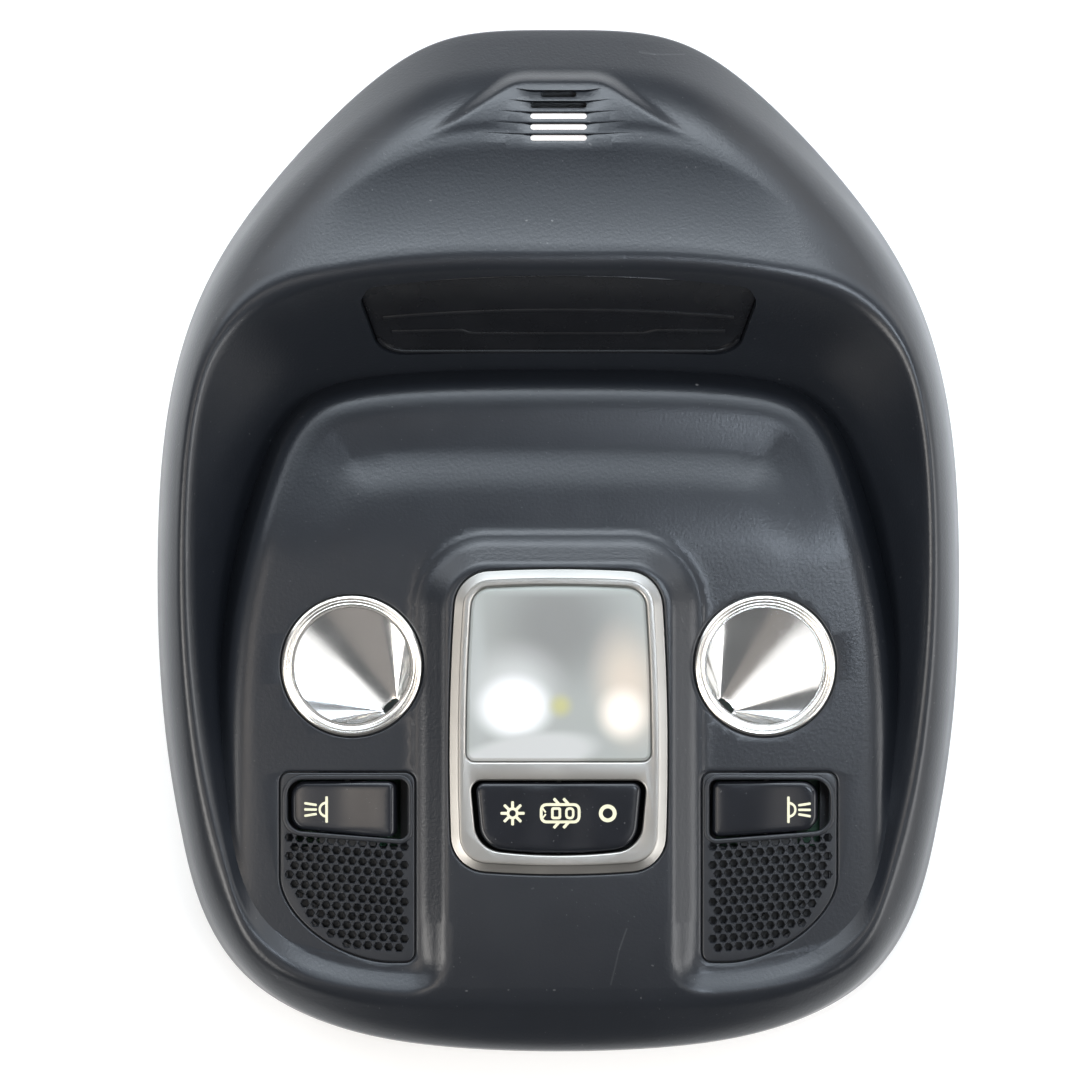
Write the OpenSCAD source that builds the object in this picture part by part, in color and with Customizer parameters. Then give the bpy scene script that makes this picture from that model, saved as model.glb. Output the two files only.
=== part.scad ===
// Car interior light: an egg-shaped roof console with two reading lamps, a centre
// lamp, three rocker switches and the lamp module behind them.
// X runs across the console, Y runs along it towards the narrow louvred end and
// Z points out of the face that is seen from the seats. The roof plane that the
// four clip towers meet is at Z = 0.

/* [Shell] */
// Width of the console across its widest part
shell_w = 201.2; // [198:0.2:216]
// Length of the console from the louvred end to the round end
shell_l = 256; // [250:0.5:280]
// Height of the shell's free rim above the roof plane
rim_z = 20; // [18:0.5:26]
// Thickness of the moulded wall
wall = 2.4; // [2:0.1:3]
// Height of the upright edge round the rim
rim_edge = 2; // [1:0.1:3]
// Height of the lower shell above the rim
crest_h = 16.4; // [16:0.1:17]

/* [Recess] */
// Distance of the brow from the rim, in plan, at both sides
brow_inset = 8.4; // [7:0.2:11]
// Share of the console's length between the brow and the louvred end
brow_share = 0.215; // [0.19:0.005:0.23]
// Height of the brow above the rim at the louvred end
brow_h = 31; // [28:0.5:34]
// Depth of the valley floor below the lamp floor
valley_drop = 13; // [10:0.5:14]
// Rounding of the brow, measured along both faces
brow_round = 4.6; // [3:0.1:6]

/* [Plateau] */
// Distance of the plateau's edge from the brow, in plan, at both sides
plateau_inset = 11.4; // [10:0.2:13]
// Distance of the plateau's upper edge from the brow
recess_l = 35; // [32:0.5:38]
// Height of the lamp floor above the rim
floor_h = 12; // [11:0.5:13]
// Fall of the plateau from the lamp floor to its upper edge
plateau_drop = 5; // [3:0.5:7]

/* [Column] */
// Width of the column's flat top beside the bezel
column_side = 1.4; // [1:0.1:2]
// Height of the column above the lamp floor
column_h = 4.4; // [4:0.1:4.8]
// Width in plan of the column's sloping side
column_slope = 3.5; // [2.5:0.1:3.8]
// Length of the column beyond the bezel's upper edge
column_over = 2.3; // [1.6:0.1:3]

/* [Louvres] */
// Number of louvre slots
slot_n = 5; // [3:1:5]
// Spacing of the slots
slot_pitch = 2.75; // [2.5:0.05:3]
// Height of a slot
slot_h = 1.5; // [1:0.1:1.7]
// Length of the longest slot
slot_l = 14; // [10:0.5:16]
// Distance of the uppermost slot from the louvred end
slot_down = 17.5; // [16:0.5:20]
// Height of the hood over the louvres
hood_h = 2.2; // [1.5:0.1:3]

/* [Recess panel] */
// Width of the black panel in the recess wall
panel_w = 98; // [90:1:100]
// Height of the panel, measured up the slope
panel_l = 27.5; // [24:0.5:29]
// Thickness of the panel
panel_t = 2; // [1.6:0.1:2.4]

/* [Centre lamp] */
// Width of the silver bezel
bezel_w = 54.2; // [53:0.1:55]
// Length of the silver bezel
bezel_l = 75.8; // [74:0.1:77]
// Distance of the bezel's lower edge from the plateau's foot
bezel_lift = 24.6; // [24:0.1:26]
// Thickness of the bezel's plate
bezel_t = 2.2; // [1.8:0.1:2.4]
// Width of the frame beside and above the lens window
window_side = 4.2; // [3.9:0.1:5]
// Height of the bar between the lens window and the centre rocker
window_bar = 5.7; // [5.4:0.1:6.5]
// Height of the frame below the centre rocker
slot_under = 4.8; // [4.4:0.1:5.4]
// Width of the frame at both ends of the centre rocker's opening
centre_slot_frame = 5.2; // [4.8:0.1:6]
// Length of the opening for the centre rocker
centre_slot_l = 17.6; // [16.5:0.1:18]

/* [Reading lamps] */
// Gap between the foot of the column and the ring of a reading lamp
lamp_gap = 1.9; // [1.6:0.1:3]
// Distance of the ring from the plateau's edge
lamp_inset = 11.9; // [11.5:0.1:13]
// Gap between the ring and the switch insert below it
lamp_lift = 9.1; // [8:0.1:11]
// Width of the silver ring around the clear lens
ring_band = 2.6; // [2.4:0.1:3.2]
// Height of the ring above the lamp floor
ring_proud = 0.7; // [0.4:0.1:1]

/* [Side switches] */
// Gap between the foot of the column and a switch insert
insert_gap = 3.8; // [3.4:0.1:5]
// Distance of a switch insert's outer edge from the plateau's edge
insert_inset = 11.6; // [11:0.1:13]
// Length of the switch insert
insert_l = 47; // [45:0.1:48]
// Distance of a switch insert from the plateau's foot
insert_lift = 2.7; // [2.5:0.1:3.5]
// Thickness of the insert's plate
insert_t = 1.6; // [1.4:0.1:2]
// Width of the frame at both ends of a side rocker's opening
side_slot_frame = 1.6; // [1.4:0.1:2]
// Length of the opening for the side rocker
side_slot_l = 15; // [14.4:0.1:15.4]
// Slope of the opening's lower edge
side_slope = 4.5; // [3:0.1:5]
// Distance between neighbouring grille holes
cell_pitch = 2.6; // [2.5:0.05:3]
// Width of a grille hole across its corners
cell_d = 1.9; // [1.5:0.05:2]

/* [Rockers] */
// Gap at both ends of a side rocker
side_end_gap = 2.1; // [1.9:0.1:2.6]
// Gap at both ends of the centre rocker
centre_end_gap = 2.5; // [2.2:0.1:3]
// Gap between a rocker and the long sides of its opening
rocker_gap = 0.5; // [0.4:0.05:0.7]
// Height of a rocker's face above its pivot
rocker_h = 8; // [7.5:0.1:8.5]
// Radius of the dished face of a rocker
dish_r = 75; // [60:1:120]
// Tilt of the side rockers as they stand in the photograph
rest_tilt = 6; // [4:0.5:7]
// Travel of the centre rocker to each side
centre_tilt = 6; // [4:0.5:7]
// Radius of a rocker's pivot stub
pivot_r = 1.2; // [1:0.05:1.4]
// Radial clearance of a pivot stub in its hole
pivot_fit = 0.05; // [0.03:0.01:0.08]
// Depth of the light-coloured symbols moulded into a rocker's face
symbol_t = 0.4; // [0.3:0.05:0.6]

/* [Lamp module] */
// Height of the module's lower edge above the roof plane
module_z = 8; // [7:0.5:9]
// Thickness of the rear cover and of the housing's deck
deck_t = 2; // [1.6:0.1:2.4]
// Thickness of the housing's side wall
housing_wall = 2; // [1.6:0.1:2.4]
// Distance of the housing's side from the plateau's edge
housing_inset = 7.8; // [7:0.2:11]
// Thickness of the circuit board
board_t = 1.6; // [1.2:0.1:2]
// Distance from the board up to the underside of the deck
board_gap = 4; // [3.5:0.1:4.5]
// Radius of the screw shanks
screw_r = 1.75; // [1.5:0.05:2]
// Radius of the locating pins on the rear cover
pin_r = 3; // [2.5:0.1:4]
// Length of the locating pins
pin_l = 7; // [5:0.5:7]
// Distance of each locating pin from the housing's side
pin_inset = 13; // [11:1:23]

/* [Roof clips] */
// Width of a clip tower
tower_w = 12; // [10:0.5:14]
// Depth of a clip tower
tower_d = 7; // [6:0.5:8]
// Thickness of the spring steel
clip_t = 0.6; // [0.5:0.05:0.8]

/* [Fits] */
// Gap between an insert and the edge of its seat
fit = 0.3; // [0.2:0.05:0.4]
// Width of the ledge that an insert rests on
ledge = 1.8; // [1.4:0.1:2]

/* [Hidden] */

// The two ends of the console
louvred_end = shell_l / 2;
round_end = -shell_l / 2;

// Widths and places in plan
brow_w = shell_w - 2 * brow_inset;
plateau_w = brow_w - 2 * plateau_inset;
brow_top = louvred_end - brow_share * shell_l;
brow_foot = round_end + 13.5;
plateau_top = brow_top - recess_l;
edge_foot = brow_foot + 7;
slot_top = louvred_end - slot_down;
bezel_y = edge_foot + bezel_lift + bezel_l / 2;
column_top = bezel_y + bezel_l / 2 + column_over;
column_w = bezel_w + 2 * column_side;
column_foot = column_w / 2 + column_slope;
window_w = bezel_w - 2 * window_side;
window_l = bezel_l - window_side - window_bar - centre_slot_l - slot_under;
window_y = bezel_y + bezel_l / 2 - window_side - window_l / 2;
centre_slot_y = bezel_y - bezel_l / 2 + slot_under + centre_slot_l / 2;
insert_x = column_foot + insert_gap;
insert_y = edge_foot + insert_lift + insert_l;
insert_w = plateau_w / 2 - insert_inset - insert_x;
ring_d = plateau_w / 2 - lamp_inset - column_foot - lamp_gap;
lens_d = ring_d - 2 * ring_band;
lamp_x = column_foot + lamp_gap + ring_d / 2;
lamp_y = insert_y + lamp_lift + ring_d / 2;
side_slot_w = insert_w - 2 * side_slot_frame;
side_rocker_w = side_slot_w - 2 * side_end_gap;
centre_slot_w = bezel_w - 2 * centre_slot_frame;
centre_rocker_w = centre_slot_w - 2 * centre_end_gap;
housing_half_w = plateau_w / 2 - housing_inset;
housing_top = max(column_top - 6.9, lamp_y + ring_d / 2 + 2);
housing_foot = round_end + 23;

// Heights above the roof plane
floor_z = rim_z + floor_h;
column_z = floor_z + column_h;
bezel_z = column_z + 0.4;
deck_z = floor_z - wall - 7.6;
board_z = deck_z - deck_t - board_gap;

// Corners of the four outlines from the louvred end round the right-hand side to the
// round end, as percentages of each outline's half width and of its length
rim_shape = [[0, 99.9], [20, 99.7], [37.3, 97.5], [56.7, 91.2], [76.5, 82.3], [89.7, 73.4], [97, 63.3],
    [99.6, 52], [99.5, 39.5], [97.4, 29.7], [94, 21.9], [88.5, 13.7], [75.5, 6.4], [51.7, 2], [25.8, 0.4],
    [0, 0]];
brow_shape = [[0, 100], [23.8, 100.1], [45.5, 99.3], [63.9, 97.3], [79, 94.9], [89.8, 90.1], [96.1, 82.9],
    [99.4, 70.7], [99.6, 53.1], [97.4, 39.7], [94.2, 28], [89.1, 17.9], [81.7, 7.5], [59.5, 1.3], [30.3, 0],
    [0, 0]];
edge_shape = [[0, 100], [24.7, 99.9], [47.6, 99.4], [64.3, 98.1], [74.8, 95.7], [82.2, 90.9], [87.2, 84.7],
    [92.7, 74.9], [98.4, 60.1], [99.9, 45.7], [98.1, 31.3], [95.2, 19.2], [87.1, 8.2], [65.5, 1.2], [34.6, 0],
    [0, 0]];
stations = 30;
around = 64;
centre = [0, round_end + 93];

// Smooth step from 0 to 1
function ease(t) = let (c = max(0, min(1, t))) c * c * (3 - 2 * c);
function unit(v) = v / norm(v);
function at(list, i) = list[(i + len(list)) % len(list)];
function mix(a, b, t) = a + (b - a) * t;

// The whole loop from its right-hand half
function loop(half, half_w, foot, top) =
    let (right = [for (p = half) [p[0] * half_w / 100, foot + (top - foot) * p[1] / 100]])
    concat(right, [for (i = [len(right) - 2:-1:1]) [-right[i][0], right[i][1]]]);

// Control points pushed outwards, so that the curve passes close to the corners
function pushed(p) = [for (i = [0:len(p) - 1]) p[i] - (at(p, i - 1) - 2 * p[i] + at(p, i + 1)) / 6];

// Point of a closed cubic B-spline
function curve(c, u) =
    let (i = floor(u), t = u - i)
    (at(c, i - 1) * pow(1 - t, 3) + at(c, i) * (3 * pow(t, 3) - 6 * t * t + 4)
        + at(c, i + 1) * (3 * t + 3 * t * t - 3 * pow(t, 3) + 1) + at(c, i + 2) * pow(t, 3)) / 6;

rim_loop = pushed(loop(rim_shape, shell_w / 2, -shell_l / 2, shell_l / 2));
brow_loop = pushed(loop(brow_shape, brow_w / 2, brow_foot, brow_top));
edge_loop = pushed(loop(edge_shape, plateau_w / 2, edge_foot, plateau_top));

// Heights of the brow, the valley and the plateau along the console
function brow_z(y) = rim_z + crest_h + (brow_h - crest_h) * ease((y - round_end - 38) / (brow_top - round_end - 38));
function valley_z(y) = floor_z - valley_drop * ease((y - round_end - 33) / (shell_l - 141));
function plateau_z(y) = floor_z - plateau_drop * ease((y - column_top - 0.8) / (plateau_top - column_top - 0.8));
function edge_gap(y) = 0.8 + 4.2 * (y - edge_foot) / (plateau_top - edge_foot);

// Corners of the section through the shell at a place on the loop: rim, edge, shoulder,
// brow, valley, plateau edge and plateau
function section(u) =
    let (
        r = curve(rim_loop, u),
        b = curve(brow_loop, u),
        e = curve(edge_loop, u),
        d = unit(curve(edge_loop, u + 0.01) - curve(edge_loop, u - 0.01)),
        out = [-d[1], d[0]],
        gap = edge_gap(e[1]),
        v = e + out * gap,
        f = e - out * gap,
        s = mix(r, b, 0.3),
        z_b = brow_z(b[1])
    )
    [[r[0], r[1], rim_z], [r[0], r[1], rim_z + rim_edge], [s[0], s[1], mix(rim_z, z_b, 0.66)],
        [b[0], b[1], z_b], [v[0], v[1], valley_z(v[1])], [e[0], e[1], plateau_z(e[1])],
        [f[0], f[1], plateau_z(f[1])]];

// Direction in plan in which a section runs at corner i
function heading(c, i) =
    let (a = c[max(0, i - 1)], b = c[min(len(c) - 1, max(2, i + 1))])
    unit([b[0] - a[0], b[1] - a[1]]);

// Slope of the section's side i, as a unit vector of run and rise
function side_dir(c, i) =
    let (d = c[i + 1] - c[i])
    unit([norm([d[0], d[1]]), d[2]]);

// The section's corners moved inwards by w
function inner_section(c, w) = [
    for (i = [0:len(c) - 1])
        let (
            a = side_dir(c, max(0, i - 1)),
            b = side_dir(c, min(len(c) - 2, i)),
            n = [-a[1] - b[1], a[0] + b[0]] / (1 + a * b),
            h = heading(c, i)
        )
        c[i] - w * [n[0] * h[0], n[0] * h[1], n[1]]
];

// Points of a rounded corner, in n steps
function bend(a, b, c, size, n) =
    let (
        d = min(size, 0.48 * norm(a - b), 0.48 * norm(c - b)),
        p = b + unit(a - b) * d,
        q = b + unit(c - b) * d
    )
    [for (k = [0:n]) let (t = k / n) mix(mix(p, b, t), mix(b, q, t), t)];

shoulder_round = 12;
valley_round = 6;
edge_round = 4;
plateau_rings = [0.88, 0.72, 0.5, 0.26];

// Section points from the rim to the middle of the plateau
function section_points(c, drop, n) =
    let (f = c[6], base = [f[0], f[1]])
    concat([c[0], c[1]], bend(c[1], c[2], c[3], shoulder_round, n),
        bend(c[2], c[3], c[4], brow_round, n),
        bend(c[3], c[4], c[5], valley_round, n),
        bend(c[4], c[5], c[6], edge_round, n), [f],
        [for (s = plateau_rings) let (p = mix(centre, base, s)) [p[0], p[1], plateau_z(p[1]) - drop]]);

// Closed solid under the shell's face, lowered and narrowed by w, down to the rim
module moulding(w, foot, steps) {
    rows = [for (k = [0:around - 1])
        let (
            c = section(stations * k / around),
            s = w == 0 ? c : inner_section(c, w),
            p = section_points(s, w, steps)
        )
        concat([[p[0][0], p[0][1], rim_z - foot]], [for (i = [1:len(p) - 1]) p[i]])];
    n = len(rows[0]);
    points = concat([for (row = rows) each row],
        [[centre[0], centre[1], plateau_z(centre[1]) - w], [centre[0], centre[1], rim_z - foot]]);
    top = around * n;
    faces = concat(
        [for (k = [0:around - 1], i = [0:n - 2])
            let (a = k * n + i, b = ((k + 1) % around) * n + i)
            each [[a, b, b + 1], [a, b + 1, a + 1]]],
        [for (k = [0:around - 1]) [k * n + n - 1, ((k + 1) % around) * n + n - 1, top]],
        [for (k = [0:around - 1]) [((k + 1) % around) * n, k * n, top + 1]]);
    polyhedron(points, faces, convexity = 10);
}

// Plan shapes
module rounded_box(w, l, r) {
    offset(r, $fn = 32) square([w - 2 * r, l - 2 * r], center = true);
}

// Bezel outline: bulging sides and an arched top and bottom
module bezel_outline(grow) {
    translate([0, bezel_y])
        offset(grow + 9, $fn = 48) intersection() {
            translate([0, -260]) circle(260 + bezel_l / 2 - 9, $fn = 240);
            translate([0, 210]) circle(210 + bezel_l / 2 - 9, $fn = 240);
            translate([-520, -8]) circle(520 + bezel_w / 2 - 9, $fn = 360);
            translate([520, -8]) circle(520 + bezel_w / 2 - 9, $fn = 360);
        }
}

// Window outline: follows the bezel's sides and top and is cut straight below
module window_outline(grow) {
    offset(grow + 2.2, $fn = 32) offset(-2.2) intersection() {
        bezel_outline(-window_side);
        translate([-bezel_w, window_y - window_l / 2]) square([2 * bezel_w, bezel_l]);
    }
}

// Opening for the centre rocker: a straight top and a curved bottom
module centre_slot_outline(grow) {
    translate([0, centre_slot_y])
        offset(grow + 4, $fn = 40) intersection() {
            square([centre_slot_w - 8, centre_slot_l - 8], center = true);
            translate([0, 120]) circle(120 + centre_slot_l / 2 - 4, $fn = 240);
        }
}

// Outline of the right-hand switch insert: straight inside, swept outside
sweep_x = 6;
sweep_l = 21;
module insert_outline(grow) {
    reach = insert_w - sweep_x;
    foot = insert_l - sweep_l;
    translate([insert_x, insert_y])
        offset(grow + 2.4, $fn = 32) offset(-2.4) polygon(concat(
            [[0, 0], [insert_w, 0]],
            [for (a = [0:9:90]) [sweep_x + reach * pow(cos(a), 1.15), -foot - sweep_l * pow(sin(a), 1.15)]],
            [[0, -insert_l]]));
}

side_slot_x = insert_x + 1.6 + side_slot_w / 2;
side_slot_y = insert_y - 1.7 - side_slot_l / 2;

// Opening for the right-hand rocker, its lower edge rising outwards
module side_slot_outline(grow, w) {
    translate([side_slot_x, side_slot_y])
        offset(grow + 2.2, $fn = 32) offset(-2.2) polygon([
            [-w / 2, side_slot_l / 2], [w / 2, side_slot_l / 2],
            [w / 2, -side_slot_l / 2 + w * tan(side_slope)],
            [-w / 2, -side_slot_l / 2]]);
}

// Centre column, standing on the lamp floor and running into the lower shell
column_end = brow_foot - 0.3;
module column() {
    length = column_top - column_end;
    middle = (column_top + column_end) / 2;
    hull() {
        translate([0, middle, column_z - 0.1]) linear_extrude(0.1) rounded_box(column_w, length, 9);
        translate([0, middle, floor_z - 3])
            linear_extrude(3) rounded_box(column_w + 2 * column_slope, length + 2 * column_slope, 12);
    }
}

// Room below the column's lower end
module column_hollow() {
    high = bezel_y - bezel_l / 2 - 4;
    low = column_end + 3;
    hull() {
        translate([0, (high + low) / 2, floor_z - 8])
            linear_extrude(1) square([column_w, high - low], center = true);
        translate([0, (high + low) / 2, column_z - wall])
            linear_extrude(0.01) square([column_w - 2 * wall - 3, high - low], center = true);
    }
}

// Hood over the louvres: the shell's own face moved up and outwards inside an arched
// outline, so that it stands out at its upper end and runs out below
hood_top = louvred_end - 12.5;
hood_foot = louvred_end - 32;
hood_fall = 0.27;
hood_rise = 0.45;
module hood_outline() {
    hull() {
        for (s = [-1, 1]) {
            translate([s * (slot_l / 2 + 3), hood_top - 7]) circle(7, $fn = 32);
            translate([s * (slot_l / 2 + 27), hood_foot + 1]) circle(1, $fn = 12);
        }
    }
}
module hood() {
    shift = hood_h / hood_rise;
    intersection() {
        translate([0, 0, rim_z + 4]) linear_extrude(40) hood_outline();
        translate([0, shift, -shift * hood_fall]) moulding(0, 0, 3);
    }
}

// Height of the hood's face on the centre line
face_table = [for (p = section_points(section(0), 0, 3)) [p[1], p[2]]];
function hood_z(y) = lookup(y - hood_h / hood_rise, face_table) - hood_h / hood_rise * hood_fall;

// Louvre slots, the shorter upper ones closed by a rib behind them
blind_slots = 2;
function slot_y(i) = slot_top - i * slot_pitch;
function slot_len(i) = slot_l * min(1, 0.63 + 0.36 * i);
module louvre_slots() {
    for (i = [0:slot_n - 1]) {
        w = slot_len(i) - slot_h;
        foot = i < blind_slots ? hood_z(slot_y(i)) - 2 * wall : rim_z;
        translate([0, slot_y(i), foot])
            hull() {
                for (x = [-w / 2, w / 2])
                    translate([x, 0, 0]) cylinder(h = 40, d = slot_h, $fn = 24);
            }
    }
}
module slot_rib() {
    low = slot_y(blind_slots - 1) - slot_pitch / 2;
    translate([-slot_l / 2 - 2, low, hood_z(slot_top) - 9])
        cube([slot_l + 4, slot_top + slot_pitch / 2 - low, 20]);
}

// Stepped faces of the louvre blades: each falls away behind the one above it and the
// step fades out to both sides
step_depth = 0.8;
module blade_steps() {
    for (i = [0:slot_n - 1]) {
        y = slot_y(i) + slot_h / 2 + 0.3;
        z = hood_z(y);
        half = slot_l / 2 + 4 + 2.8 * i;
        hull() {
            translate([-slot_l / 2, y - 0.1, z - step_depth]) cube([slot_l, 0.1, 8]);
            translate([-half, y - 0.1, z + 0.1]) cube([2 * half, 0.1, 8]);
            translate([-slot_l / 2, y - slot_pitch + 0.2, hood_z(y - slot_pitch)]) cube([slot_l, 0.1, 8]);
        }
    }
}

// Plane of the recess wall, with its middle and slope
wall_low = [plateau_top + 5, valley_z(plateau_top + 5)];
wall_high = [brow_top, brow_z(brow_top)];
wall_mid = (wall_low + wall_high) / 2;
wall_angle = atan2(wall_high[1] - wall_low[1], wall_high[0] - wall_low[0]);
panel_shift = -1.6;
module on_wall(h) {
    translate([0, wall_mid[0], wall_mid[1]])
        rotate([wall_angle, 0, 0]) translate([0, panel_shift, h]) children();
}

// Panel outline: an arched top and a narrower foot
module panel_outline(grow) {
    half = panel_w / 2;
    l = panel_l / 2;
    offset(grow + 3, $fn = 32) offset(-3) polygon([
        [-half + 8, -l], [half - 8, -l], [half - 3.5, -l + 3.5], [half, l - 9], [half - 3, l - 3.6],
        [half * 0.62, l - 1.6], [half * 0.3, l - 0.4], [0, l], [-half * 0.3, l - 0.4],
        [-half * 0.62, l - 1.6], [-half + 3, l - 3.6], [-half, l - 9], [-half + 3.5, -l + 3.5]]);
}

// Places of the clip towers and of the module's screws
tower_high = [shell_w / 2 - 54.6, louvred_end - 36];
tower_low = [shell_w / 2 - 36.6, round_end + 22];
tower_places = [[-tower_high[0], tower_high[1]], tower_high, [-tower_low[0], tower_low[1]], tower_low];
screw_high = [column_foot + 1, housing_top - 6];
screw_low = [column_foot - 10, housing_foot + 8];
screw_places = [[-screw_high[0], screw_high[1]], screw_high, [-screw_low[0], screw_low[1]], screw_low];
boss_r = 3.4;
cut_h = 10;
screw_fit = 0.05;

module tower(place, high) {
    translate([place[0] - tower_w / 2, place[1] - tower_d / 2, clip_t])
        cube([tower_w, tower_d, high - clip_t]);
}

module console_shell() {
    color([0.15, 0.155, 0.165])
    difference() {
        union() {
            difference() {
                union() {
                    moulding(0, 0, 3);
                    column();
                    hood();
                }
                moulding(wall, 1, 2);
                column_hollow();
            }
            intersection() {
                union() {
                    moulding(0, 0, 3);
                    column();
                }
                union() {
                    for (p = tower_places)
                        tower(p, 60);
                    for (p = screw_places)
                        translate([p[0], p[1], deck_z]) cylinder(h = 30, r = boss_r, $fn = 32);
                    slot_rib();
                    on_wall(-wall - 3) linear_extrude(wall + 3) panel_outline(2.5);
                }
            }
            for (p = tower_places)
                tower(p, rim_z + 1);
        }
        translate([0, 0, bezel_z - bezel_t]) linear_extrude(cut_h) bezel_outline(fit);
        translate([0, 0, floor_z - cut_h]) linear_extrude(2 * cut_h) bezel_outline(-ledge);
        for (s = [-1, 1])
            translate([s * lamp_x, lamp_y, 0]) {
                translate([0, 0, floor_z - ring_t]) cylinder(h = cut_h, d = ring_d + 2 * fit, $fn = 64);
                translate([0, 0, floor_z - cut_h]) cylinder(h = cut_h, d = ring_d - 2 * ledge, $fn = 64);
            }
        for (s = [0, 1])
            mirror([s, 0, 0]) {
                translate([0, 0, floor_z - insert_t]) linear_extrude(cut_h) insert_outline(fit);
                translate([0, 0, floor_z - cut_h]) linear_extrude(cut_h) insert_outline(-ledge);
                pivot_block(fit);
            }
        louvre_slots();
        blade_steps();
        on_wall(-panel_t) linear_extrude(cut_h) panel_outline(fit);
        for (p = screw_places)
            translate([p[0], p[1], deck_z - 1]) cylinder(h = 6, r = screw_r + screw_fit, $fn = 24);
    }
}

// Panel with an arched ridge and a stepped lower ridge
module recess_panel() {
    ridge = 0.5;
    step = panel_w * 0.204;
    color([0.07, 0.07, 0.08])
    on_wall(-panel_t) {
        linear_extrude(panel_t) panel_outline(0);
        translate([0, 0, panel_t - 0.01]) linear_extrude(ridge + 0.01)
            intersection() {
                panel_outline(-2);
                union() {
                    difference() {
                        translate([0, -154]) circle(156, $fn = 240);
                        translate([0, -154]) circle(154.6, $fn = 240);
                    }
                    polygon([[-panel_w, -5.6], [-step - 1, -5], [-step + 1, -6.6], [step - 1, -6.6], [step + 1, -5],
                        [panel_w, -5.6], [panel_w, -6.8], [step + 2, -6.4], [step, -7.8], [-step, -7.8],
                        [-step - 2, -6.4], [-panel_w, -6.8]]);
                }
            }
        translate([0, -panel_l / 2 + 1.2, panel_t - 0.01]) linear_extrude(ridge)
            square([panel_w - 20, 1], center = true);
    }
}

// Silver bezel: a plate with a bevelled rim, the lens window, the rocker opening and the
// pivot walls under it
bevel = 0.8;
pivot_wall = 1.6;
rocker_z = bezel_z - 0.6;
centre_pivot_z = rocker_z - rocker_h;
module centre_bezel() {
    skirt = centre_pivot_z - 2.2;
    color([0.72, 0.71, 0.7])
    difference() {
        union() {
            translate([0, 0, bezel_z - bezel_t]) linear_extrude(bezel_t - bevel) bezel_outline(0);
            translate([0, 0, bezel_z - bevel]) linear_extrude(bevel) bezel_outline(-bevel);
            translate([0, centre_slot_y, skirt])
                linear_extrude(bezel_z - bezel_t - skirt)
                    square([18, centre_slot_l + 2 * pivot_wall], center = true);
        }
        translate([0, 0, bezel_z - bezel_t - 1]) linear_extrude(bezel_t + 2) window_outline(0);
        translate([0, 0, skirt - 1]) linear_extrude(30) centre_slot_outline(0);
        translate([0, centre_slot_y + centre_slot_l / 2 + pivot_wall + 1, centre_pivot_z])
            rotate([90, 0, 0]) cylinder(h = centre_slot_l + 2 * pivot_wall + 2, r = pivot_r + pivot_fit, $fn = 48);
    }
}

// Frosted lens: a raised pane that fills the window and a flange behind the bezel
lens_flange = 1.2;
module centre_lens() {
    color([0.86, 0.86, 0.84, 0.9])
    union() {
        translate([0, 0, bezel_z - bezel_t - lens_flange]) linear_extrude(lens_flange) window_outline(0.7);
        translate([0, 0, bezel_z - bezel_t]) linear_extrude(bezel_t + 0.2) window_outline(-0.15);
    }
}

// Bowl behind the centre lens, open over the lamp on the circuit board
bowl_top = bezel_z - bezel_t - lens_flange;
module bowl(shrink, foot, top) {
    hull() {
        translate([0, window_y, foot]) linear_extrude(0.01) rounded_box(16 - 2 * shrink, 16 - 2 * shrink, 5);
        translate([0, window_y, top]) linear_extrude(0.01)
            rounded_box(window_w - 2 * shrink, window_l - 2 * shrink, 5);
    }
}
led_top = board_z + 1.9;
module centre_reflector() {
    color([0.8, 0.8, 0.8])
    difference() {
        bowl(0, led_top + 0.6, bowl_top - 0.01);
        bowl(1.2, led_top + 1.8, bowl_top + 0.1);
        translate([0, window_y - 6.6, led_top - 1]) cylinder(h = 6, r = 3, $fn = 48);
    }
}

module led(x, y) {
    translate([x, y, board_z]) {
        translate([-1.75, -1.75, 0]) cube([3.5, 3.5, 1.4]);
        translate([0, 0, 1.3]) cylinder(h = 0.6, r = 1.3, $fn = 32);
    }
}
module centre_led() {
    color([0.95, 0.85, 0.35]) led(0, window_y - 6.6);
}

// Silver ring with a stepped rim, a seat for the lens and a barrel behind
ring_t = 1.6;
barrel_r = ring_d / 2 - ledge - fit;
lens_seat = floor_z - ring_t;
lens_lip = 0.8;
module lamp_ring(s) {
    r = ring_d / 2;
    inner = lens_d / 2 + 0.1;
    color([0.75, 0.75, 0.75])
    translate([s * lamp_x, lamp_y, 0])
        rotate_extrude($fn = 96) polygon([
            [r, lens_seat], [r, floor_z + 0.2], [r - 0.5, floor_z + ring_proud - 0.2],
            [r - 1.1, floor_z + ring_proud], [inner + 0.7, floor_z + ring_proud - 0.1],
            [inner, floor_z + 0.1], [inner, lens_seat], [inner - 1, lens_seat],
            [inner - 1, lens_seat - lens_lip], [inner - 0.3, lens_seat - lens_lip],
            [inner - 0.3, floor_z - 6], [barrel_r, floor_z - 6], [barrel_r, lens_seat]]);
}
module left_lamp_ring() {
    lamp_ring(-1);
}
module right_lamp_ring() {
    lamp_ring(1);
}

// Clear lens with a slightly domed face
lens_t = 1.7;
module lamp_lens(s) {
    dome_r = 160;
    r = lens_d / 2;
    dome = dome_r - sqrt(dome_r * dome_r - r * r);
    color([0.85, 0.88, 0.9, 0.4])
    translate([s * lamp_x, lamp_y, lens_seat])
        intersection() {
            cylinder(h = lens_t + 1, r = r, $fn = 96);
            translate([0, 0, lens_t + dome - dome_r]) sphere(dome_r, $fn = 180);
        }
}
module left_lens() {
    lamp_lens(-1);
}
module right_lens() {
    lamp_lens(1);
}

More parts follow.
